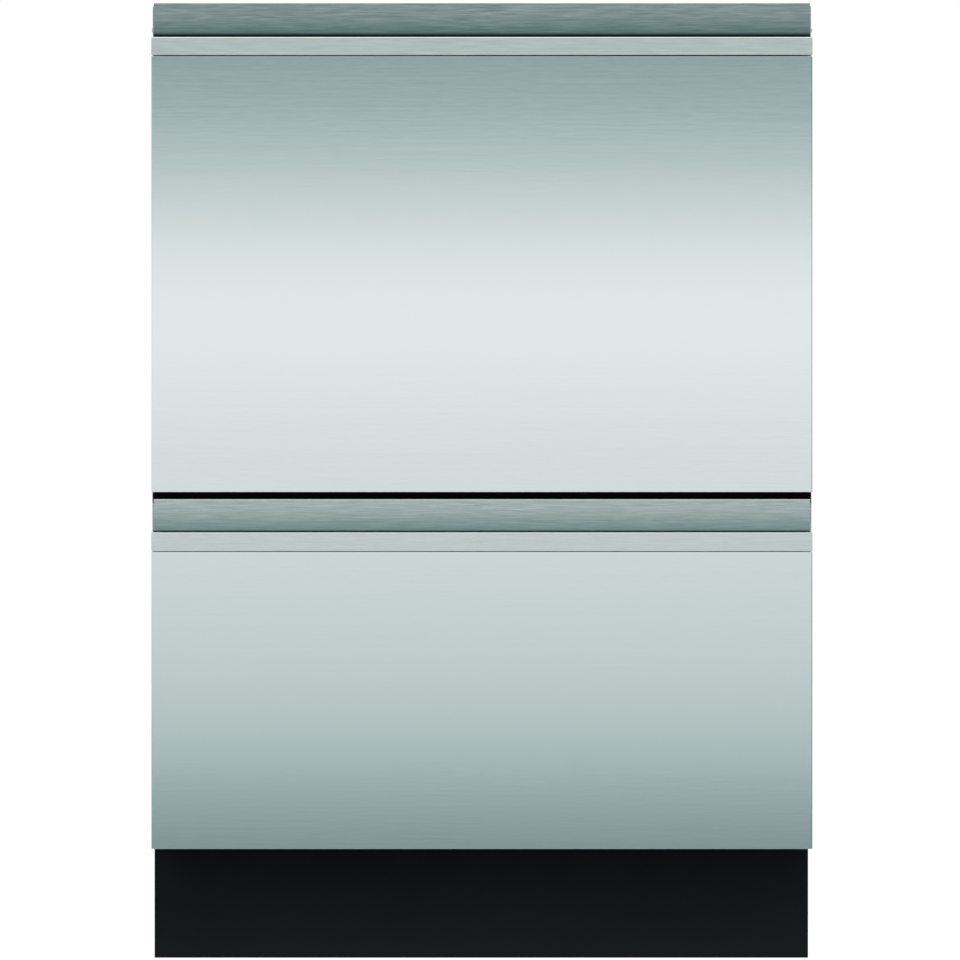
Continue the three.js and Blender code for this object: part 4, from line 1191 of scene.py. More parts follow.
class DISHWASHER_OT_filters(bpy.types.Operator):
    """Perforated filter plates with moulded rims and grips"""

    bl_idname = "dishwasher.filters"
    bl_label = "Filter Plates"

    def execute(self, context):
        for drawer in DRAWERS:
            node = f"{drawer}_filter_plate"
            plate = Extent(node)
            self.rim(node, plate)
            coat = "perforated_steel"
            sheet = scattered(self.cell(), self.lattice(plate), coat=coat)
            shown(f"{drawer}_filter_sheet", sheet, coat, node)
        return {"FINISHED"}

    def rim(self, node, plate):
        """The outer rim, the inner ring with its grips, and the eye round the spindle."""
        mold = Mold().at((plate.x, plate.y, plate.z0))
        for section in (
            [(112, 0), (112, 1), (109, 2.3), (104, 3), (102, 3), (101, 1.6), (101, 0)],
            [(51, 0), (51, 2.2), (50.2, 3), (48.6, 5), (47.5, 7), (44.5, 7), (43.4, 5),
             (41.8, 3), (41, 2.2), (41, 0)],
            [(22, 0), (22, 2.4), (21.2, 3), (18.2, 3), (17.4, 2.4), (17.4, 0)],
        ):
            mold.turned(section, 72, closed=True)
        mold.around(6, (49, -1.6, 0.2), (103, 1.6, 3), 0.5)
        mold.around(36, (43, -0.8, 2), (49.4, 0.8, 6.4), 0.3)
        shown(f"{node}_rim", mold.cast(), "pump_plastic", node, True)

    def cell(self):
        """A hexagon of sheet with a hole in it."""
        thick, hole = 0.8, size("filter_hole") / 2
        corners = [Vector(p) for p in circle(size("filter_pitch") / sqrt(3), 0, 6, pi / 6)]
        following = corners[1:] + corners[:1]
        outline = [p for a, b in zip(corners, following) for p in (a, (a + b) / 2)]
        rows = [[(p.x, p.y, z) for p in outline] for z in (0, thick)]
        rows += [circle(hole, z, 12, pi / 6) for z in (thick, 0)]
        return Mold().loft(rows, closed=True).cast()

    def lattice(self, plate):
        """The middles of the cells that fill the plate's two sheets."""
        pitch = size("filter_pitch")
        step = pitch * sqrt(3) / 2
        rows = int(110 / step)
        middles = [
            Vector(((i + (j % 2) / 2) * pitch, j * step))
            for j in range(-rows, rows + 1) for i in range(-20, 21)
        ]
        return [
            (plate.x + p.x, plate.y + p.y, plate.z0 + 1.2)
            for p in middles if 22 < p.length < 43 or 48 < p.length < 104
        ]


class DISHWASHER_OT_spray_arms(bpy.types.Operator):
    """Spray arms with rounded blades, nozzles and hub caps"""

    bl_idname = "dishwasher.spray_arms"
    bl_label = "Spray Arms"

    def execute(self, context):
        for drawer in DRAWERS:
            node = f"{drawer}_spray_arm"
            dress(node, 2.2, 4, angle=50)
            arm = Extent(node)
            self.hub(drawer, node, arm, arm.z0 + 11)
            self.nozzles(drawer, node, arm, arm.z0 + 11)
        return {"FINISHED"}

    def sweep(self, radius):
        """How far a blade has curved aside at a radius."""
        return 6 * (radius / 205) ** 2

    def hub(self, drawer, node, arm, top):
        """A cap and ribs round the hub, and a ridge along each blade."""
        high = arm.z1 - 3
        cap = [(12, 3), (20, 3), (26, 1), (29, -0.6), (29, -1.4), (12, -1.4)]
        mold = Mold().at((arm.x, arm.y, high)).turned(cap, 48, closed=True)
        mold.around(12, (26, -0.8, top - 1 - high), (30, 0.8, 0), 0.3).at((0, 0, 0))
        section = ((-1.5, -0.6), (1.5, -0.6), (0.6, 1.1), (-0.6, 1.1))
        for sign in (-1, 1):
            mold.loft([
                [(arm.x + sign * self.sweep(r) + x, arm.y + sign * r, top + z)
                 for x, z in section]
                for r in spread(34, 176, 12)
            ])
        shown(f"{drawer}_arm_hub", mold.cast(), "arm_plastic", node)

    def nozzles(self, drawer, node, arm, top):
        places = []
        for sign in (-1, 1):
            for i, r in enumerate(spread(46, 190, 7)):
                aside = self.sweep(r) + (8 if i % 2 else -8) * (1.15 - r / 250)
                places.append((arm.x + sign * aside, arm.y + sign * r, top))
        profile = [
            (0, -0.6), (1, -0.6), (1, 0.1), (0.86, 0.36), (0.6, 0.44), (0.42, 0.4),
            (0.34, -0.3), (0, -0.3),
        ]
        nozzle = Mold().turned(profile, 20).cast()
        fastened(f"{drawer}_nozzles", nozzle, places, UP, node, 4.4, "pump_plastic")


class DISHWASHER_OT_dispensers(bpy.types.Operator):
    """Detergent dispensers with their flaps, latches and rinse aid caps"""

    bl_idname = "dishwasher.dispensers"
    bl_label = "Dispensers"

    def execute(self, context):
        for drawer in DRAWERS:
            dress(f"{drawer}_dispenser", 0.6)
            dress(f"{drawer}_dispenser_flap", 0.5)
            self.flap(drawer)
            self.cap(drawer)
        return {"FINISHED"}

    def flap(self, drawer):
        """Ribs and a thumb tab on the flap."""
        node = f"{drawer}_dispenser_flap"
        flap, mold = Extent(node), Mold()
        for rise in spread(-13, 9, 7):
            mold.at((flap.x, flap.y1 - 0.9, flap.z + rise), BACK).pressed(26, 1, 1, 0.5, 0.8)
        mold.at((flap.x, flap.y1 - 0.6, flap.z1 - 4), BACK)
        mold.block((-9, -2.4, 0), (9, 2.4, 2), 0.7)
        shown(f"{drawer}_flap_ribs", mold.cast(), "pump_plastic", node)

    def cap(self, drawer):
        """A knurled rinse aid cap with a grip bar, a sight glass and a latch."""
        node = f"{drawer}_dispenser"
        body = Extent(node)
        x, face = body.x1 - 31, body.y1 - 3
        mold = Mold().at((x, face, body.z), BACK).block((-11, -2, 2), (11, 2, 5), 0.8)
        mold.around(36, (13.6, -0.5, 0.4), (14.6, 0.5, 2.6))
        shown(f"{drawer}_rinse_cap", mold.cast(), "pump_plastic", node)
        glass = Mold().at((x, face, body.z + 21), BACK)
        glass.turned([(0, -0.5), (3, -0.5), (3, 0.4), (0, 0.9)], 24)
        glass.at((x, face, body.z - 21), BACK).block((-6, -2, -0.3), (6, 2, 1), 0.4)
        shown(f"{drawer}_sight_glass", glass.cast(), "lamp_lens", node)


# ---- Lids --------------------------------------------------------------------------------


class DISHWASHER_OT_lids(bpy.types.Operator):
    """Lids with their seals and lifters"""

    bl_idname = "dishwasher.lids"
    bl_label = "Lids"

    def execute(self, context):
        for drawer in DRAWERS:
            self.lid(drawer)
            self.seal(drawer)
            for side, sign in SIDES.items():
                self.lifter(f"{drawer}_lid_lifter_{side}", sign)
        return {"FINISHED"}

    def lid(self, drawer):
        """The lid's rounded shell, with pressed bays on top and ribs underneath."""
        node = f"{drawer}_lid"
        dress(node, 1.2, 3, angle=50)
        lid, tub, mold = Extent(node), Extent(f"{drawer}_tub"), Mold()
        for x in spread(tub.x0 + 74, tub.x1 - 74, 4):
            for y in spread(tub.y0 + 70, tub.y1 - 70, 3):
                mold.at((x, y, lid.z1)).pressed(60, 66, 14, 6, 1.4)
        low, high = lid.z1 - 7.5, lid.z1 - 2.5
        for x in spread(tub.x0 + 40, tub.x1 - 40, 11):
            mold.at((x, tub.y, 0)).block((-0.9, -214, low), (0.9, 214, high))
        for y in spread(tub.y0 + 40, tub.y1 - 40, 8):
            mold.at((tub.x, y, 0)).block((-262, -0.9, low), (262, 0.9, high))
        shown(f"{drawer}_lid_bays", mold.cast(), "lid_plastic", node)

    def seal(self, drawer):
        """A bulb with a lip on each side, carried round the lid's edge."""
        node = f"{drawer}_lid_seal"
        seal = Extent(node)
        half = ((seal.x1 - seal.x0) / 2, (seal.y1 - seal.y0) / 2)
        high = seal.z1 - seal.z0
        profile = [
            (0.2, high), (0.0, high - 0.6), (0.9, high - 1.4), (0.4, 1.6), (0.0, 0.3),
            (0.9, 0.0), (2.0, 0.9), (3.5, 0.4), (5.0, 0.9), (6.1, 0.0), (7.0, 0.3), (6.6, 1.6),
            (6.1, high - 1.4), (7.0, high - 0.6), (6.8, high),
        ]
        rows = [
            ring(half[0] - inset, half[1] - inset, 38 - inset, seal.z0 + z, (seal.x, seal.y), 12)
            for inset, z in profile
        ]
        mesh = Mold().loft(rows, closed=True).cast(60)
        shown(f"{node}_profile", mesh, "rubber", node, True)

    def lifter(self, node, sign):
        """A lifter beside the tub, with its motor cans and screws."""
        dress(node, 0.8)
        body, mold, inwards = Extent(node), Mold(), (-sign, 0, 0)
        inner = body.x0 if sign > 0 else body.x1
        for y in (body.y0 + 14, body.y1 - 14):
            mold.at((inner, y, body.z), inwards).turned([(0, -1), (9, -1), (9, 0.7), (0, 1)])
        shown(f"{node}_motors", mold.cast(), "zinc", node)
        places = [
            (inner, y, z) for y in (body.y0 + 5, body.y1 - 5) for z in (body.z0 + 5, body.z1 - 5)
        ]
        fastened(f"{node}_screws", cross_head(), places, inwards, node, 2.2)


# ---- Racks -------------------------------------------------------------------------------


class DISHWASHER_OT_racks(bpy.types.Operator):
    """Welded and coated racks, with fold-down cup shelves in the upper one"""

    bl_idname = "dishwasher.racks"
    bl_label = "Racks"

    weld = 1
    rise = 46
    tine_height = 78

    def execute(self, context):
        for drawer in DRAWERS:
            self.basket(drawer)
        for side in SIDES:
            dress(f"upper_cup_shelf_{side}", 0.9, 3)
        return {"FINISHED"}

    def basket(self, drawer):
        """Rings, the hoops across and along them, legs and tines, with beads on their ends."""
        node, coat = f"{drawer}_rack", "rack_vinyl"
        rack, wire, bend = Extent(node), size("wire"), size("wire_bend")
        out = wire - self.weld
        reach = out + wire / 2
        x, y = (rack.x0 + reach, rack.x1 - reach), (rack.y0 + reach, rack.y1 - reach)
        left, right, front, back = x[0] - out, x[1] + out, y[0] - out, y[1] + out
        floor, top = rack.z0 - 0.3 + self.rise, rack.z1 - wire / 2
        low, under, tip = floor + bend + wire / 2, floor - out, floor + self.tine_height
        across, along = spread(*y, 9)[1:-1], spread(*x, 8)[1:-1]
        legs = [(sx, sy) for sx in (left, right) for sy in (y[0] + 24, y[1] - 24)]
        tines = [(sx, sy) for sx in along[1:-1] for sy in spread(*y, 14)[1:-1]]
        ends = [(sx, sy) for sx in (left, right) for sy in across]
        ends += [(sx, sy) for sx in along for sy in (front, back)]
        lines = [
            ([(x[0], y[0], z), (x[1], y[0], z), (x[1], y[1], z), (x[0], y[1], z)], True)
            for z in (low, (low + top) / 2, top)
        ]
        lines += [
            ([(left, at, top), (left, at, under), (right, at, under), (right, at, top)], False)
            for at in across
        ]
        lines += [
            ([(at, front, top), (at, front, floor), (at, back, floor), (at, back, top)], False)
            for at in along
        ]
        lines += [([(*leg, rack.z0), (*leg, top)], False) for leg in legs]
        upright = [([(*tine, floor - 1), (*tine, tip)], False) for tine in tines]
        mold = Mold().take(wired(lines, wire / 2, bend, 10, coat))
        mold.take(wired(upright, size("tine_wire") / 2, 0.0, 8, coat))
        bead = Mold().turned([(sin(a), -cos(a)) for a in spread(0, pi, 7)], 10).cast()
        for spots, z, direction, radius in (
            (tines, tip, UP, 1.75), (ends + legs, top, UP, 2.35),
            (legs, rack.z0 + 2.2, DOWN, 3.2), (tines, floor + 0.5, UP, 2.5),
        ):
            places = [(*spot, z) for spot in spots]
            mold.take(scattered(bead, places, direction, radius, coat=coat))
        shown(f"{node}_wires", mold.cast(60), coat, node, True)
        self.clips(drawer, along[1:-1], y, floor)

    def clips(self, drawer, rows, y, floor):
        """Moulded clips that hold each row of tines at its ends and middle."""
        mold = Mold()
        for x in rows:
            for at in (y[0] + 18, (y[0] + y[1]) / 2 + 16, y[1] - 18):
                mold.block((x - 4, at - 6, floor - 2.6), (x + 4, at + 6, floor + 6), 1)
        shown(f"{drawer}_tine_clips", mold.cast(), "pump_plastic", f"{drawer}_rack")


# ---- Slides ------------------------------------------------------------------------------


class DISHWASHER_OT_slides(bpy.types.Operator):
    """Telescopic slides with their rivets, beads and buffers"""

    bl_idname = "dishwasher.slides"
    bl_label = "Slides"

    def execute(self, context):
        for drawer in DRAWERS:
            for side, sign in SIDES.items():
                for member in ("outer", "middle", "inner"):
                    dress(f"{drawer}_slide_{member}_{side}", size("sheet_edge"))
                self.web(f"{drawer}_slide_inner_{side}", sign)
                self.buffers(f"{drawer}_slide_outer_{side}")
        return {"FINISHED"}

    def web(self, node, sign):
        """Rivets and a stiffening bead on the web that the drawer hangs from."""
        member, outwards = Extent(node), (sign, 0, 0)
        web = (member.x0 if sign > 0 else member.x1) + sign * 1.5
        bead = Mold().at((web, member.y, member.z), outwards).pressed(190, 5, 5, 2, 1.2)
        shown(f"{node}_bead", bead.cast(), "zinc", node)
        places = [
            (web, y, member.z + rise)
            for y in spread(member.y0 + 20, member.y1 - 20, 6) for rise in (-11, 11)
        ]
        fastened(f"{node}_rivets", rivet_head(), places, outwards, node, 3.4)

    def buffers(self, node):
        """Rubber stops at both ends of the outer member."""
        member, mold = Extent(node), Mold()
        for y in (member.y0 + 1, member.y1 - 7):
            for z in (member.z1 - 1, member.z0 - 2.4):
                mold.block((member.x0 + 2, y, z), (member.x1 - 1, y + 6, z + 3.4), 0.6)
        shown(f"{node}_buffers", mold.cast(), "rubber", node)


# ---- Chassis -----------------------------------------------------------------------------


class DISHWASHER_OT_chassis(bpy.types.Operator):
    """Pressed panels, base pan, rail and toe kick, with their beads and screws"""

    bl_idname = "dishwasher.chassis"
    bl_label = "Chassis"

    set_in = 0.985
    slide_rivet = 2.494
    edge_rivet = 2.32

    def execute(self, context):
        for side, sign in SIDES.items():
            self.side(side, sign)
        self.rear()
        self.top()
        self.pan()
        self.rail()
        self.kick()
        return {"FINISHED"}

    def beads(self, node, direction, fields):
        """Pressed fields (place, reach across, reach up, corner) on a flat face."""
        mold = Mold()
        for place, across, above, corner in fields:
            mold.at(place, direction).pressed(across, above, corner, 2.2, size("bead_height"))
        shown(f"{node}_beads", mold.cast(), "galvanised", node)

    def stepped(self, mesh, step, face):
        """The mesh with the outer skin of its foot set in, so that the toe kick hides it."""
        bm = bmesh.new()
        bm.from_mesh(mesh)
        for z in (step, step + 4):
            parts = [*bm.verts, *bm.edges, *bm.faces]
            bmesh.ops.bisect_plane(bm, geom=parts, plane_co=(0, 0, z * MM), plane_no=UP)
        for vertex in bm.verts:
            if vertex.co.z < (step + 1) * MM and abs(vertex.co.x - face * MM) < 2 * MM:
                vertex.co.x *= self.set_in
        bm.to_mesh(mesh)
        bm.free()
        return mesh

    def side(self, side, sign):
        node = f"side_panel_{side}"
        panel, outwards = Extent(node), (sign, 0, 0)
        face = panel.x1 if sign > 0 else panel.x0
        mesh = self.stepped(node_mesh(node), Extent("toe_kick").z1 + 3, face)
        dress(node, size("sheet_edge"), mesh=mesh)
        slides = [Extent(f"{drawer}_slide_outer_{side}") for drawer in DRAWERS]
        bays = (
            (panel.z0 + 54, slides[0].z0 - 16), (slides[0].z1 + 16, slides[1].z0 - 16),
            (slides[1].z1 + 16, panel.z1 - 24),
        )
        self.beads(node, outwards, [
            ((face, y, (low + high) / 2), 70, (high - low) / 2, 16)
            for low, high in bays for y in spread(panel.y0 + 110, panel.y1 - 100, 3)
        ])
        places = [
            (face, y, slide.z + rise) for slide in slides
            for y in spread(slide.y0 + 30, slide.y1 - 40, 5) for rise in (-9, 9)
        ]
        fastened(f"{node}_rivets", rivet_head(), places, outwards, node, self.slide_rivet)
        places = [
            (face, y, z) for y in (panel.y0 + 6, panel.y1 - 6)
            for z in spread(panel.z0 + 50, panel.z1 - 20, 7)
        ]
        fastened(f"{node}_rivets_edge", rivet_head(), places, outwards, node, self.edge_rivet)

    def rear(self):
        """The sheet is thin enough for its beads and screws to stay inside the depth."""
        node, thin = "rear_panel", 0.35
        panel, bracket = Extent(node), Extent("service_bracket")
        left, right, face = bracket.x0 + 5, bracket.x1 - 5, panel.y0 + thin
        low, high = bracket.z0 + 11.7, bracket.z1 - 5
        sheet = Mold().block((panel.x0, panel.y0, panel.z0), (panel.x1, face, panel.z1))
        cutter = Mold().block((left, panel.y0 - 5, low), (right, panel.y1 + 5, high))
        shown(f"{node}_sheet", drilled(sheet.cast(), cutter.cast()), "galvanised", node, True)
        fields = [
            ((x, face, (foot + head) / 2), 120, (head - foot) / 2, 20)
            for x in (panel.x0 + 150, panel.x1 - 150)
            for foot, head in ((240, 425), (455, 640), (670, 835))
        ]
        self.beads(node, BACK, [*fields, ((110, face, 140), 150, 50, 20)])
        border = Mold().at(((left + right) / 2, face, (low + high) / 2), BACK)
        reach = ((right - left) / 2, (high - low) / 2)
        section = [(0, -2), (0, 0.7), (4, 0.7), (5, 0), (5, -0.2), (1, -2)]
        rows = [ring(reach[0] + w, reach[1] + w, 2 + w, z, steps=4) for w, z in section]
        shown("rear_recess_frame", border.loft(rows, closed=True).cast(), "galvanised", node)
        places = [
            (x, face, z) for z in spread(panel.z0 + 16, panel.z1 - 12, 8)
            for x in (panel.x0 + 7, panel.x1 - 7)
        ]
        places += [(x, face, panel.z1 - 8) for x in spread(-220, 220, 5)]
        places += [(x, face, panel.z0 + 8) for x in spread(-60, 240, 4)]
        profile = [
            (0, -0.1), (1, -0.1), (1, 0.06), (0.9, 0.17), (0.4, 0.19), (0.34, 0.08), (0, 0.08)
        ]
        shape = Mold().turned(profile, 20).cast()
        fastened("rear_panel_screws", shape, places, BACK, node, 3.9)

    def top(self):
        """The top panel, and the tabs that hold it to the worktop."""
        node = "top_panel"
        dress(node, size("sheet_edge"))
        panel, tabs = Extent(node), Mold()
        self.beads(node, UP, [
            ((x, y, panel.z1), 120, 70, 20)
            for x in (-145, 145) for y in spread(panel.y0 + 110, panel.y1 - 110, 3)
        ])
        places = [
            (x, y, panel.z1) for x in (panel.x0 + 8, panel.x1 - 8)
            for y in spread(panel.y0 + 20, panel.y1 - 16, 6)
        ]
        places += [(x, panel.y1 - 8, panel.z1) for x in spread(-200, 200, 4)]
        fastened("top_panel_screws", cross_head(), places, UP, node, 3.9)
        rim = [(2.6, 1), (5, 1), (5, 1.7), (4.4, 2), (3.2, 2), (2.6, 1.7)]
        for x in (-210, 210):
            tabs.at((x, panel.y0 + 13, panel.z1)).block((-22, -10, -0.2), (22, 10, 1.2), 0.4)
            tabs.turned(rim, 28, closed=True)
        shown("worktop_tabs", tabs.cast(), "zinc", node)

    def pan(self):
        """The pan, whose outer walls are set in as the feet of the side panels are."""
        node = "base_pan"
        pan, mesh = Extent(node), node_mesh(node)
        for vertex in mesh.vertices:
            if abs(vertex.co.x) > (pan.x1 - 5) * MM:
                vertex.co.x *= self.set_in
        dress(node, size("sheet_edge"), mesh=mesh)
        floor = pan.z0 + 1.2
        self.beads(node, UP, [((x, 60, floor), 42, 150, 14) for x in spread(-190, 190, 4)])
        places = [
            (x, y, pan.z0) for x in spread(-230, 230, 6) for y in (pan.y0 + 50, pan.y1 - 8)
        ]
        fastened("base_pan_screws", hex_head(), places, DOWN, node)
        self.float_switch(node, floor)

    def float_switch(self, node, floor):
        """A float and its switch, which sense water that has leaked into the pan."""
        profile = [(0, 0.5), (26, 0.5), (28, 2.5), (28, 12), (26, 14), (4, 14), (4, 22), (0, 22)]
        body = Mold().at((150, 150, floor)).turned(profile, 40)
        shown("leak_float", body.cast(), "arm_plastic", node)
        switch = Mold().at((194, 150, floor)).block((-6, -14, -0.5), (6, 14, 20), 1)
        switch.block((-34, -2.5, 15), (0, 2.5, 17), 0.6)
        shown("leak_switch", switch.cast(), "black_plastic", node)

    def rail(self):
        """Its paint is darker and its gloss lower as painted shade, standing in for the shade
        where it lies deep in the gap between the drawers.
        """
        node, coat = "centre_rail", "rail_paint"
        dress(node, size("sheet_edge"), coat=coat)
        rail = Extent(node)
        places = [(x, rail.y0, rail.z - 1) for x in (-280, 280)]
        head = Mold().turned([(0, -0.1), (1, -0.1), (1, 0.05), (0.8, 0.14), (0, 0.16)], 20)
        fastened("centre_rail_screws", head.cast(), places, FORWARD, node, 3.2, coat)

    def kick(self):
        """The toe kick, which is a little narrower and lower than its solid."""
        mesh, share, aside, lowered = node_mesh("toe_kick"), 0.9935, 0.5, 0.9
        for vertex in mesh.vertices:
            vertex.co.x = share * vertex.co.x - aside * MM
            vertex.co.z -= lowered * MM if vertex.co.z < 5 * MM else 0.0
        dress("toe_kick", 0.4, 3, mesh=mesh)


class DISHWASHER_OT_feet(bpy.types.Operator):
    """Levelling feet: rubber soles, hexagon collars and threaded stems"""

    bl_idname = "dishwasher.feet"
    bl_label = "Levelling Feet"

    def execute(self, context):
        for place in ("front", "rear"):
            for side in SIDES:
                self.foot(f"foot_{place}_{side}")
        return {"FINISHED"}

    def foot(self, node):
        foot, stem, low = Extent(node), 5.2, 15
        place, high = (foot.x, foot.y, foot.z0), foot.z1 - foot.z0
        pad = [(0, 1.2), (19.6, 1.2), (20.6, 2.2), (20.6, 4.2), (18, 5.4), (13, 7.6)]
        mold = Mold().at(place).turned([*pad, (11.2, 8.6), (11.2, 9.6), (0, 9.6)], 48)
        mold.turned([(0, 9), (8.4, 9), (9.2, 9.8), (9.2, 15.2), (8.4, 16), (0, 16)], 6)
        mold.turned([(0, low), (stem, low), (stem, high - 1), (stem - 1, high), (0, high)], 24)
        mold.at((foot.x, foot.y, foot.z0 + low + 3))
        mold.take(thread(34, stem, high - low - 6, 0.75))
        shown(f"{node}_finished", mold.cast(), "foot_steel", node, True)
        rim = [(0, 0), (20, 0), (21, 0.8), (21, 2.2), (20.2, 2.6), (0, 2.6)]
        shown(f"{node}_sole", Mold().at(place).turned(rim, 48).cast(), "rubber", node)


class DISHWASHER_OT_fittings(bpy.types.Operator):
    """The bracket at the back with the water inlet, the drain spigot and the cable gland"""

    bl_idname = "dishwasher.fittings"
    bl_label = "Service Fittings"

    def execute(self, context):
        node = "service_bracket"
        bracket = Extent(node)
        plate, width = bracket.y1 - 24, bracket.x1 - bracket.x0 - 10
        self.bracket(node, bracket, plate)
        for share, make in ((0.2, self.inlet), (0.5, self.drain), (0.8, self.gland)):
            make(node, (bracket.x0 + 5 + share * width, plate, bracket.z1 - 55))
        places = [
            (x, plate, bracket.z1 - drop)
            for x in (bracket.x0 + 9, bracket.x1 - 9) for drop in (9, 96)
        ]
        fastened("bracket_screws", hex_head(), places, BACK, node)
        return {"FINISHED"}

    def bracket(self, node, bracket, plate):
        """A plate with a shelf at its foot and five gussets between the two."""
        half = ((bracket.x1 - bracket.x0) / 2, (bracket.z1 - bracket.z0) / 2)
        mold = Mold().at((bracket.x, plate - 3, bracket.z), BACK)
        mold.block((-half[0], -half[1], 0), (half[0], half[1], 3), 0.6).at((0, 0, 0))
        low = (bracket.x0, plate - 1, bracket.z0)
        mold.block(low, (bracket.x1, plate + 20, bracket.z0 + 3), 0.6)
        for x in spread(bracket.x0 + 2, bracket.x1 - 4, 5):
            mold.at((x, plate, bracket.z0 + 2))
            mold.loft([[(at, -0.5, 0), (at, 16, 0), (at, -0.5, 22)] for at in (0, 2)])
        shown(f"{node}_plate", mold.cast(), "black_plastic", node, True)

    def inlet(self, node, place):
        """A threaded spigot behind a hexagon, with a strainer in its mouth."""
        mold = Mold().at(place, BACK).turned([(15, -0.5), (15, 4), (14, 5)], 6)
        bore = [(8.6, 5), (11.8, 5), (11.8, 22.8), (11, 24), (9.2, 24), (8.6, 23.2)]
        mold.turned(bore, 48, closed=True)
        mold.frame = mold.frame @ Matrix.Translation((0, 0, 7))
        mold.take(thread(7, 11.9, 14.5, 1.1))
        shown("inlet_spigot", mold.cast(), "nickel", node)
        strainer = Mold().at(place, BACK).turned([(0, 5), (8.7, 5), (8.7, 15), (0, 17)])
        strainer.around(12, (1, -0.3, 15), (8.4, 0.3, 17.6))
        shown("inlet_strainer", strainer.cast(), "arm_plastic", node)

    def drain(self, node, place):
        """A barbed spigot."""
        barbs = [(14, -0.5), (14, 2), (9, 3.4)]
        for start in (5, 10.5, 16):
            barbs += [(8.2, start), (9.8, start + 0.6), (8.4, start + 4.6)]
        barbs += [(8.2, 24), (6.6, 24), (6.4, 23.4), (6.4, 0)]
        mold = Mold().at(place, BACK).turned(barbs, 48, closed=True).disc(6.6, -0.5, 1, 24)
        shown("drain_spigot", mold.cast(), "pump_plastic", node)

    def gland(self, node, place):
        """A cable gland: hexagon body, domed nut with flats, and a bush in its mouth."""
        mold = Mold().at(place, BACK).turned([(12.6, -0.5), (12.6, 4.4), (11.8, 5)], 6)
        mold.turned([(8.9, 5), (8.9, 15), (8.6, 16)], 8)
        dome = [(8.6, 15.6), (8.4, 18), (7.4, 21), (5.6, 23.4), (4.9, 24), (4.4, 23.4)]
        mold.turned([*dome, (4.4, 15.6)], 40, closed=True)
        shown("cable_gland", mold.cast(), "black_plastic", node)
        lips = [(4.5, 16), (4.5, 22.6), (3.8, 23.2), (2.2, 21.4), (2.2, 16)]
        bush = Mold().at(place, BACK).turned(lips, 32, closed=True).disc(2.4, 15, 17, 20)
        shown("gland_bush", bush.cast(), "rubber", node)


# ---- Stage -------------------------------------------------------------------------------


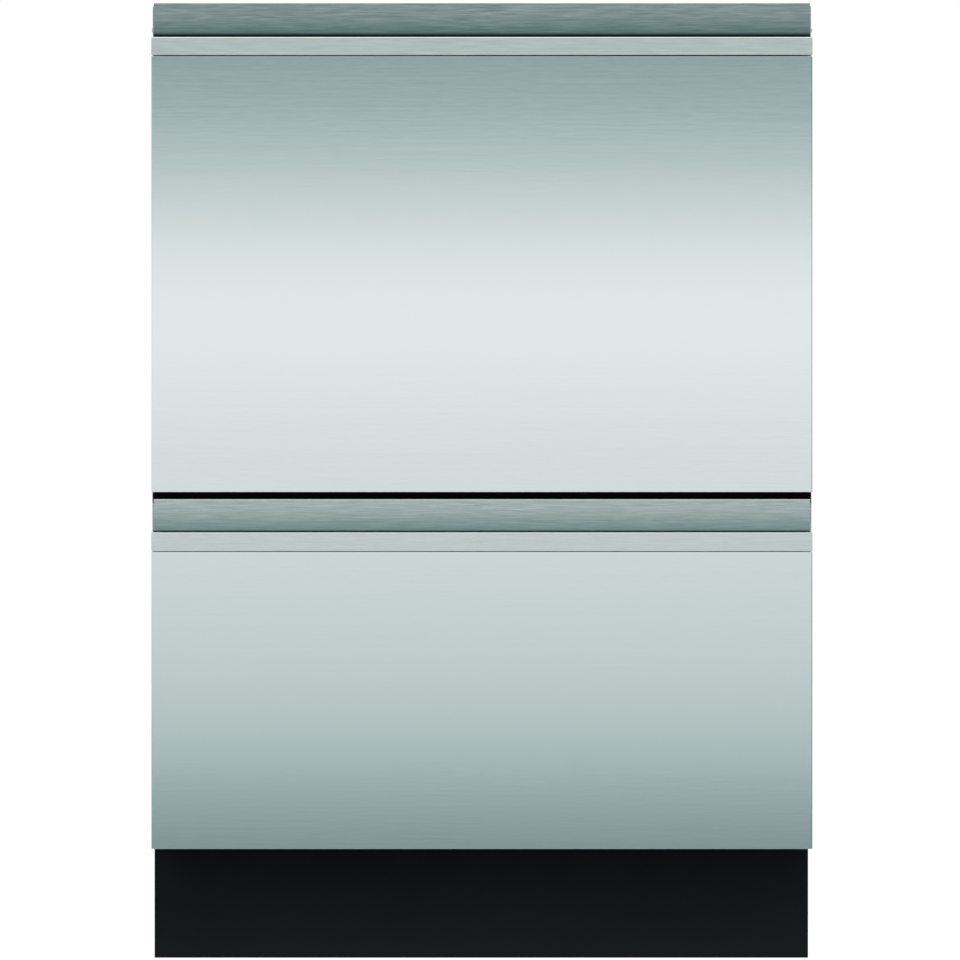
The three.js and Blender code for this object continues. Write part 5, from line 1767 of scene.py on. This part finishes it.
class DISHWASHER_OT_stage(bpy.types.Operator):
    """Floor, lamps, world and camera"""

    bl_idname = "dishwasher.stage"
    bl_label = "Stage"

    def execute(self, context):
        scene = context.scene
        scene.view_settings.view_transform = "Standard"
        self.world(scene)
        self.floor()
        self.card()
        self.lamp("key", (0.9, -2.4, 2.3), 1.8, 42)
        self.lamp("fill", (-1.8, -1.9, 1.6), 1.8, 24)
        self.lamp("back", (1.5, 1.6, 2.2), 1.4, 36)
        self.camera(scene)
        return {"FINISHED"}

    def background_rays(self, graph):
        """1 for the rays that see the background, in the picture or in a shiny surface."""
        path = graph.add("ShaderNodeLightPath", outlet="Is Camera Ray")
        seen = path.math("MAXIMUM", path, path["Is Glossy Ray"])
        return path.math("MAXIMUM", seen, path["Is Transmission Ray"])

    def world(self, scene):
        world = bpy.data.worlds.new("studio")
        world.use_nodes = True
        graph = Graph(world.node_tree)
        kind = "ShaderNodeBackground"
        soft = graph.add(kind, {"Color": (0.86, 0.88, 0.9, 1.0), "Strength": 0.55})
        white = graph.add(kind, {"Color": (1.0, 1.0, 1.0, 1.0), "Strength": 1.0})
        values = {0: self.background_rays(graph), 1: soft, 2: white}
        both = graph.add("ShaderNodeMixShader", values)
        graph.add("ShaderNodeOutputWorld", {"Surface": both})
        scene.world = world

    def surface(self, name, mesh, build):
        """A part of the stage whose shader is what build returns."""
        material = bpy.data.materials.new(name)
        material.use_nodes = True
        graph = Graph(material.node_tree)
        graph.add("ShaderNodeOutputMaterial", {"Surface": build(graph)})
        mesh.materials.append(material)
        piece = bpy.data.objects.new(name, mesh)
        bpy.context.scene.collection.objects.link(piece)
        return piece

    def floor(self):
        reach = 40.0
        corners = [(-reach, -reach, 0), (reach, -reach, 0), (reach, reach, 0), (-reach, reach, 0)]
        mesh = bpy.data.meshes.new("floor")
        mesh.from_pydata(corners, [], [(0, 1, 2, 3)])

        def build(graph):
            matt = graph.add("ShaderNodeBsdfDiffuse", {"Color": (0.9, 0.9, 0.9, 1.0)})
            glow = graph.add("ShaderNodeEmission", {"Strength": 1.12})
            share = self.background_rays(graph) * 0.86
            return graph.add("ShaderNodeMixShader", {0: share, 1: matt, 2: glow})

        self.surface("pale_floor", mesh, build)

    def card(self):
        """A card that only shiny surfaces see: it grades the light on the steel fronts. Its
        sides come round the object, and the right one is the darker."""
        near, far, behind, top, reach, lift = -330, -1350, 900, 2400, 2000, 4
        corners = [(x, y, lift) for x in (-reach, reach) for y in (near, far, behind)]
        corners += [(x, y, top) for x in (-reach, reach) for y in (far, behind)]
        mesh = bpy.data.meshes.new("card")
        faces = [(0, 3, 4, 1), (1, 4, 8, 6), (1, 6, 7, 2), (4, 5, 9, 8)]
        mesh.from_pydata([[part * MM for part in corner] for corner in corners], [], faces)
        stops = [
            (0.000, (0.12, 0.15, 0.16)), (0.017, (0.15, 0.20, 0.21)),
            (0.050, (0.24, 0.38, 0.38)), (0.083, (0.67, 0.79, 0.80)),
            (0.117, (0.69, 0.78, 0.77)), (0.154, (0.81, 0.88, 0.87)),
            (0.192, (0.84, 0.87, 0.87)), (0.225, (0.97, 1.04, 1.04)),
            (0.254, (1.19, 1.23, 1.24)), (0.283, (0.84, 0.89, 0.87)),
            (0.312, (0.41, 0.57, 0.57)), (0.342, (0.23, 0.34, 0.37)),
            (0.375, (0.22, 0.31, 0.31)), (0.438, (0.50, 0.60, 0.59)),
            (0.667, (1.20, 1.20, 1.12)),
        ]

        def build(graph):
            values = {"Fac": graph.axis("Z") / top}
            grade = graph.add("ShaderNodeValToRGB", values, stops=stops)
            strength = 1 - graph.axis("X").eased(1200, reach) * 0.55
            return graph.add("ShaderNodeEmission", {"Color": grade, "Strength": strength})

        card = self.surface("graded_card", mesh, build)
        card.visible_camera = card.visible_diffuse = card.visible_transmission = False
        card.visible_shadow = card.visible_volume_scatter = False

    def lamp(self, name, place, size, power):
        aim = Vector((0.0, 0.0, 0.45))
        data = bpy.data.lights.new(name, "AREA")
        data.shape = "DISK"
        data.size = size
        data.energy = power
        lamp = bpy.data.objects.new(name, data)
        lamp.location = place
        lamp.rotation_euler = (aim - Vector(place)).to_track_quat("-Z", "Y").to_euler()
        lamp.visible_camera = False
        lamp.visible_glossy = False
        bpy.context.scene.collection.objects.link(lamp)

    def camera(self, scene):
        data = bpy.data.cameras.new("camera")
        data.sensor_width = 36.0
        sizes = scene.dishwasher_sizes
        data.lens = data.sensor_width * sizes.camera_distance / sizes.view_width
        camera = bpy.data.objects.new("camera", data)
        across, height = -0.0017, 0.4337
        camera.location = (across, CAD_BOX[0].y - sizes.camera_distance, height)
        camera.rotation_euler = (pi / 2, 0.0, 0.0)
        scene.collection.objects.link(camera)
        scene.camera = camera


# ---- Add-on ------------------------------------------------------------------------------

OPERATORS = (
    DISHWASHER_OT_fronts,
    DISHWASHER_OT_door_frames,
    DISHWASHER_OT_controls,
    DISHWASHER_OT_tubs,
    DISHWASHER_OT_wash_pumps,
    DISHWASHER_OT_filters,
    DISHWASHER_OT_spray_arms,
    DISHWASHER_OT_dispensers,
    DISHWASHER_OT_lids,
    DISHWASHER_OT_racks,
    DISHWASHER_OT_slides,
    DISHWASHER_OT_chassis,
    DISHWASHER_OT_feet,
    DISHWASHER_OT_fittings,
    DISHWASHER_OT_stage,
)


class DISHWASHER_PT_pieces(bpy.types.Panel):
    """The pieces of the dishwasher, in the order they are made"""

    bl_idname = "DISHWASHER_PT_pieces"
    bl_label = "Dishwasher"
    bl_space_type = "VIEW_3D"
    bl_region_type = "UI"
    bl_category = "Dishwasher"

    def draw(self, context):
        for operator in OPERATORS:
            self.layout.operator(operator.bl_idname)
        scene = context.scene
        for group in (scene.dishwasher_sizes, scene.dishwasher_colours):
            box = self.layout.box()
            for name in type(group).__annotations__:
                box.prop(group, name)


CLASSES = (DishwasherSizes, DishwasherColours, *OPERATORS, DISHWASHER_PT_pieces)


def register():
    for cls in CLASSES:
        bpy.utils.register_class(cls)
    bpy.types.Scene.dishwasher_sizes = bpy.props.PointerProperty(type=DishwasherSizes)
    bpy.types.Scene.dishwasher_colours = bpy.props.PointerProperty(type=DishwasherColours)


def unregister():
    del bpy.types.Scene.dishwasher_colours
    del bpy.types.Scene.dishwasher_sizes
    for cls in reversed(CLASSES):
        bpy.utils.unregister_class(cls)


def main():
    register()
    for operator in OPERATORS:
        getattr(bpy.ops.dishwasher, operator.bl_idname.split(".")[1])()


if __name__ == "__main__":
    main()
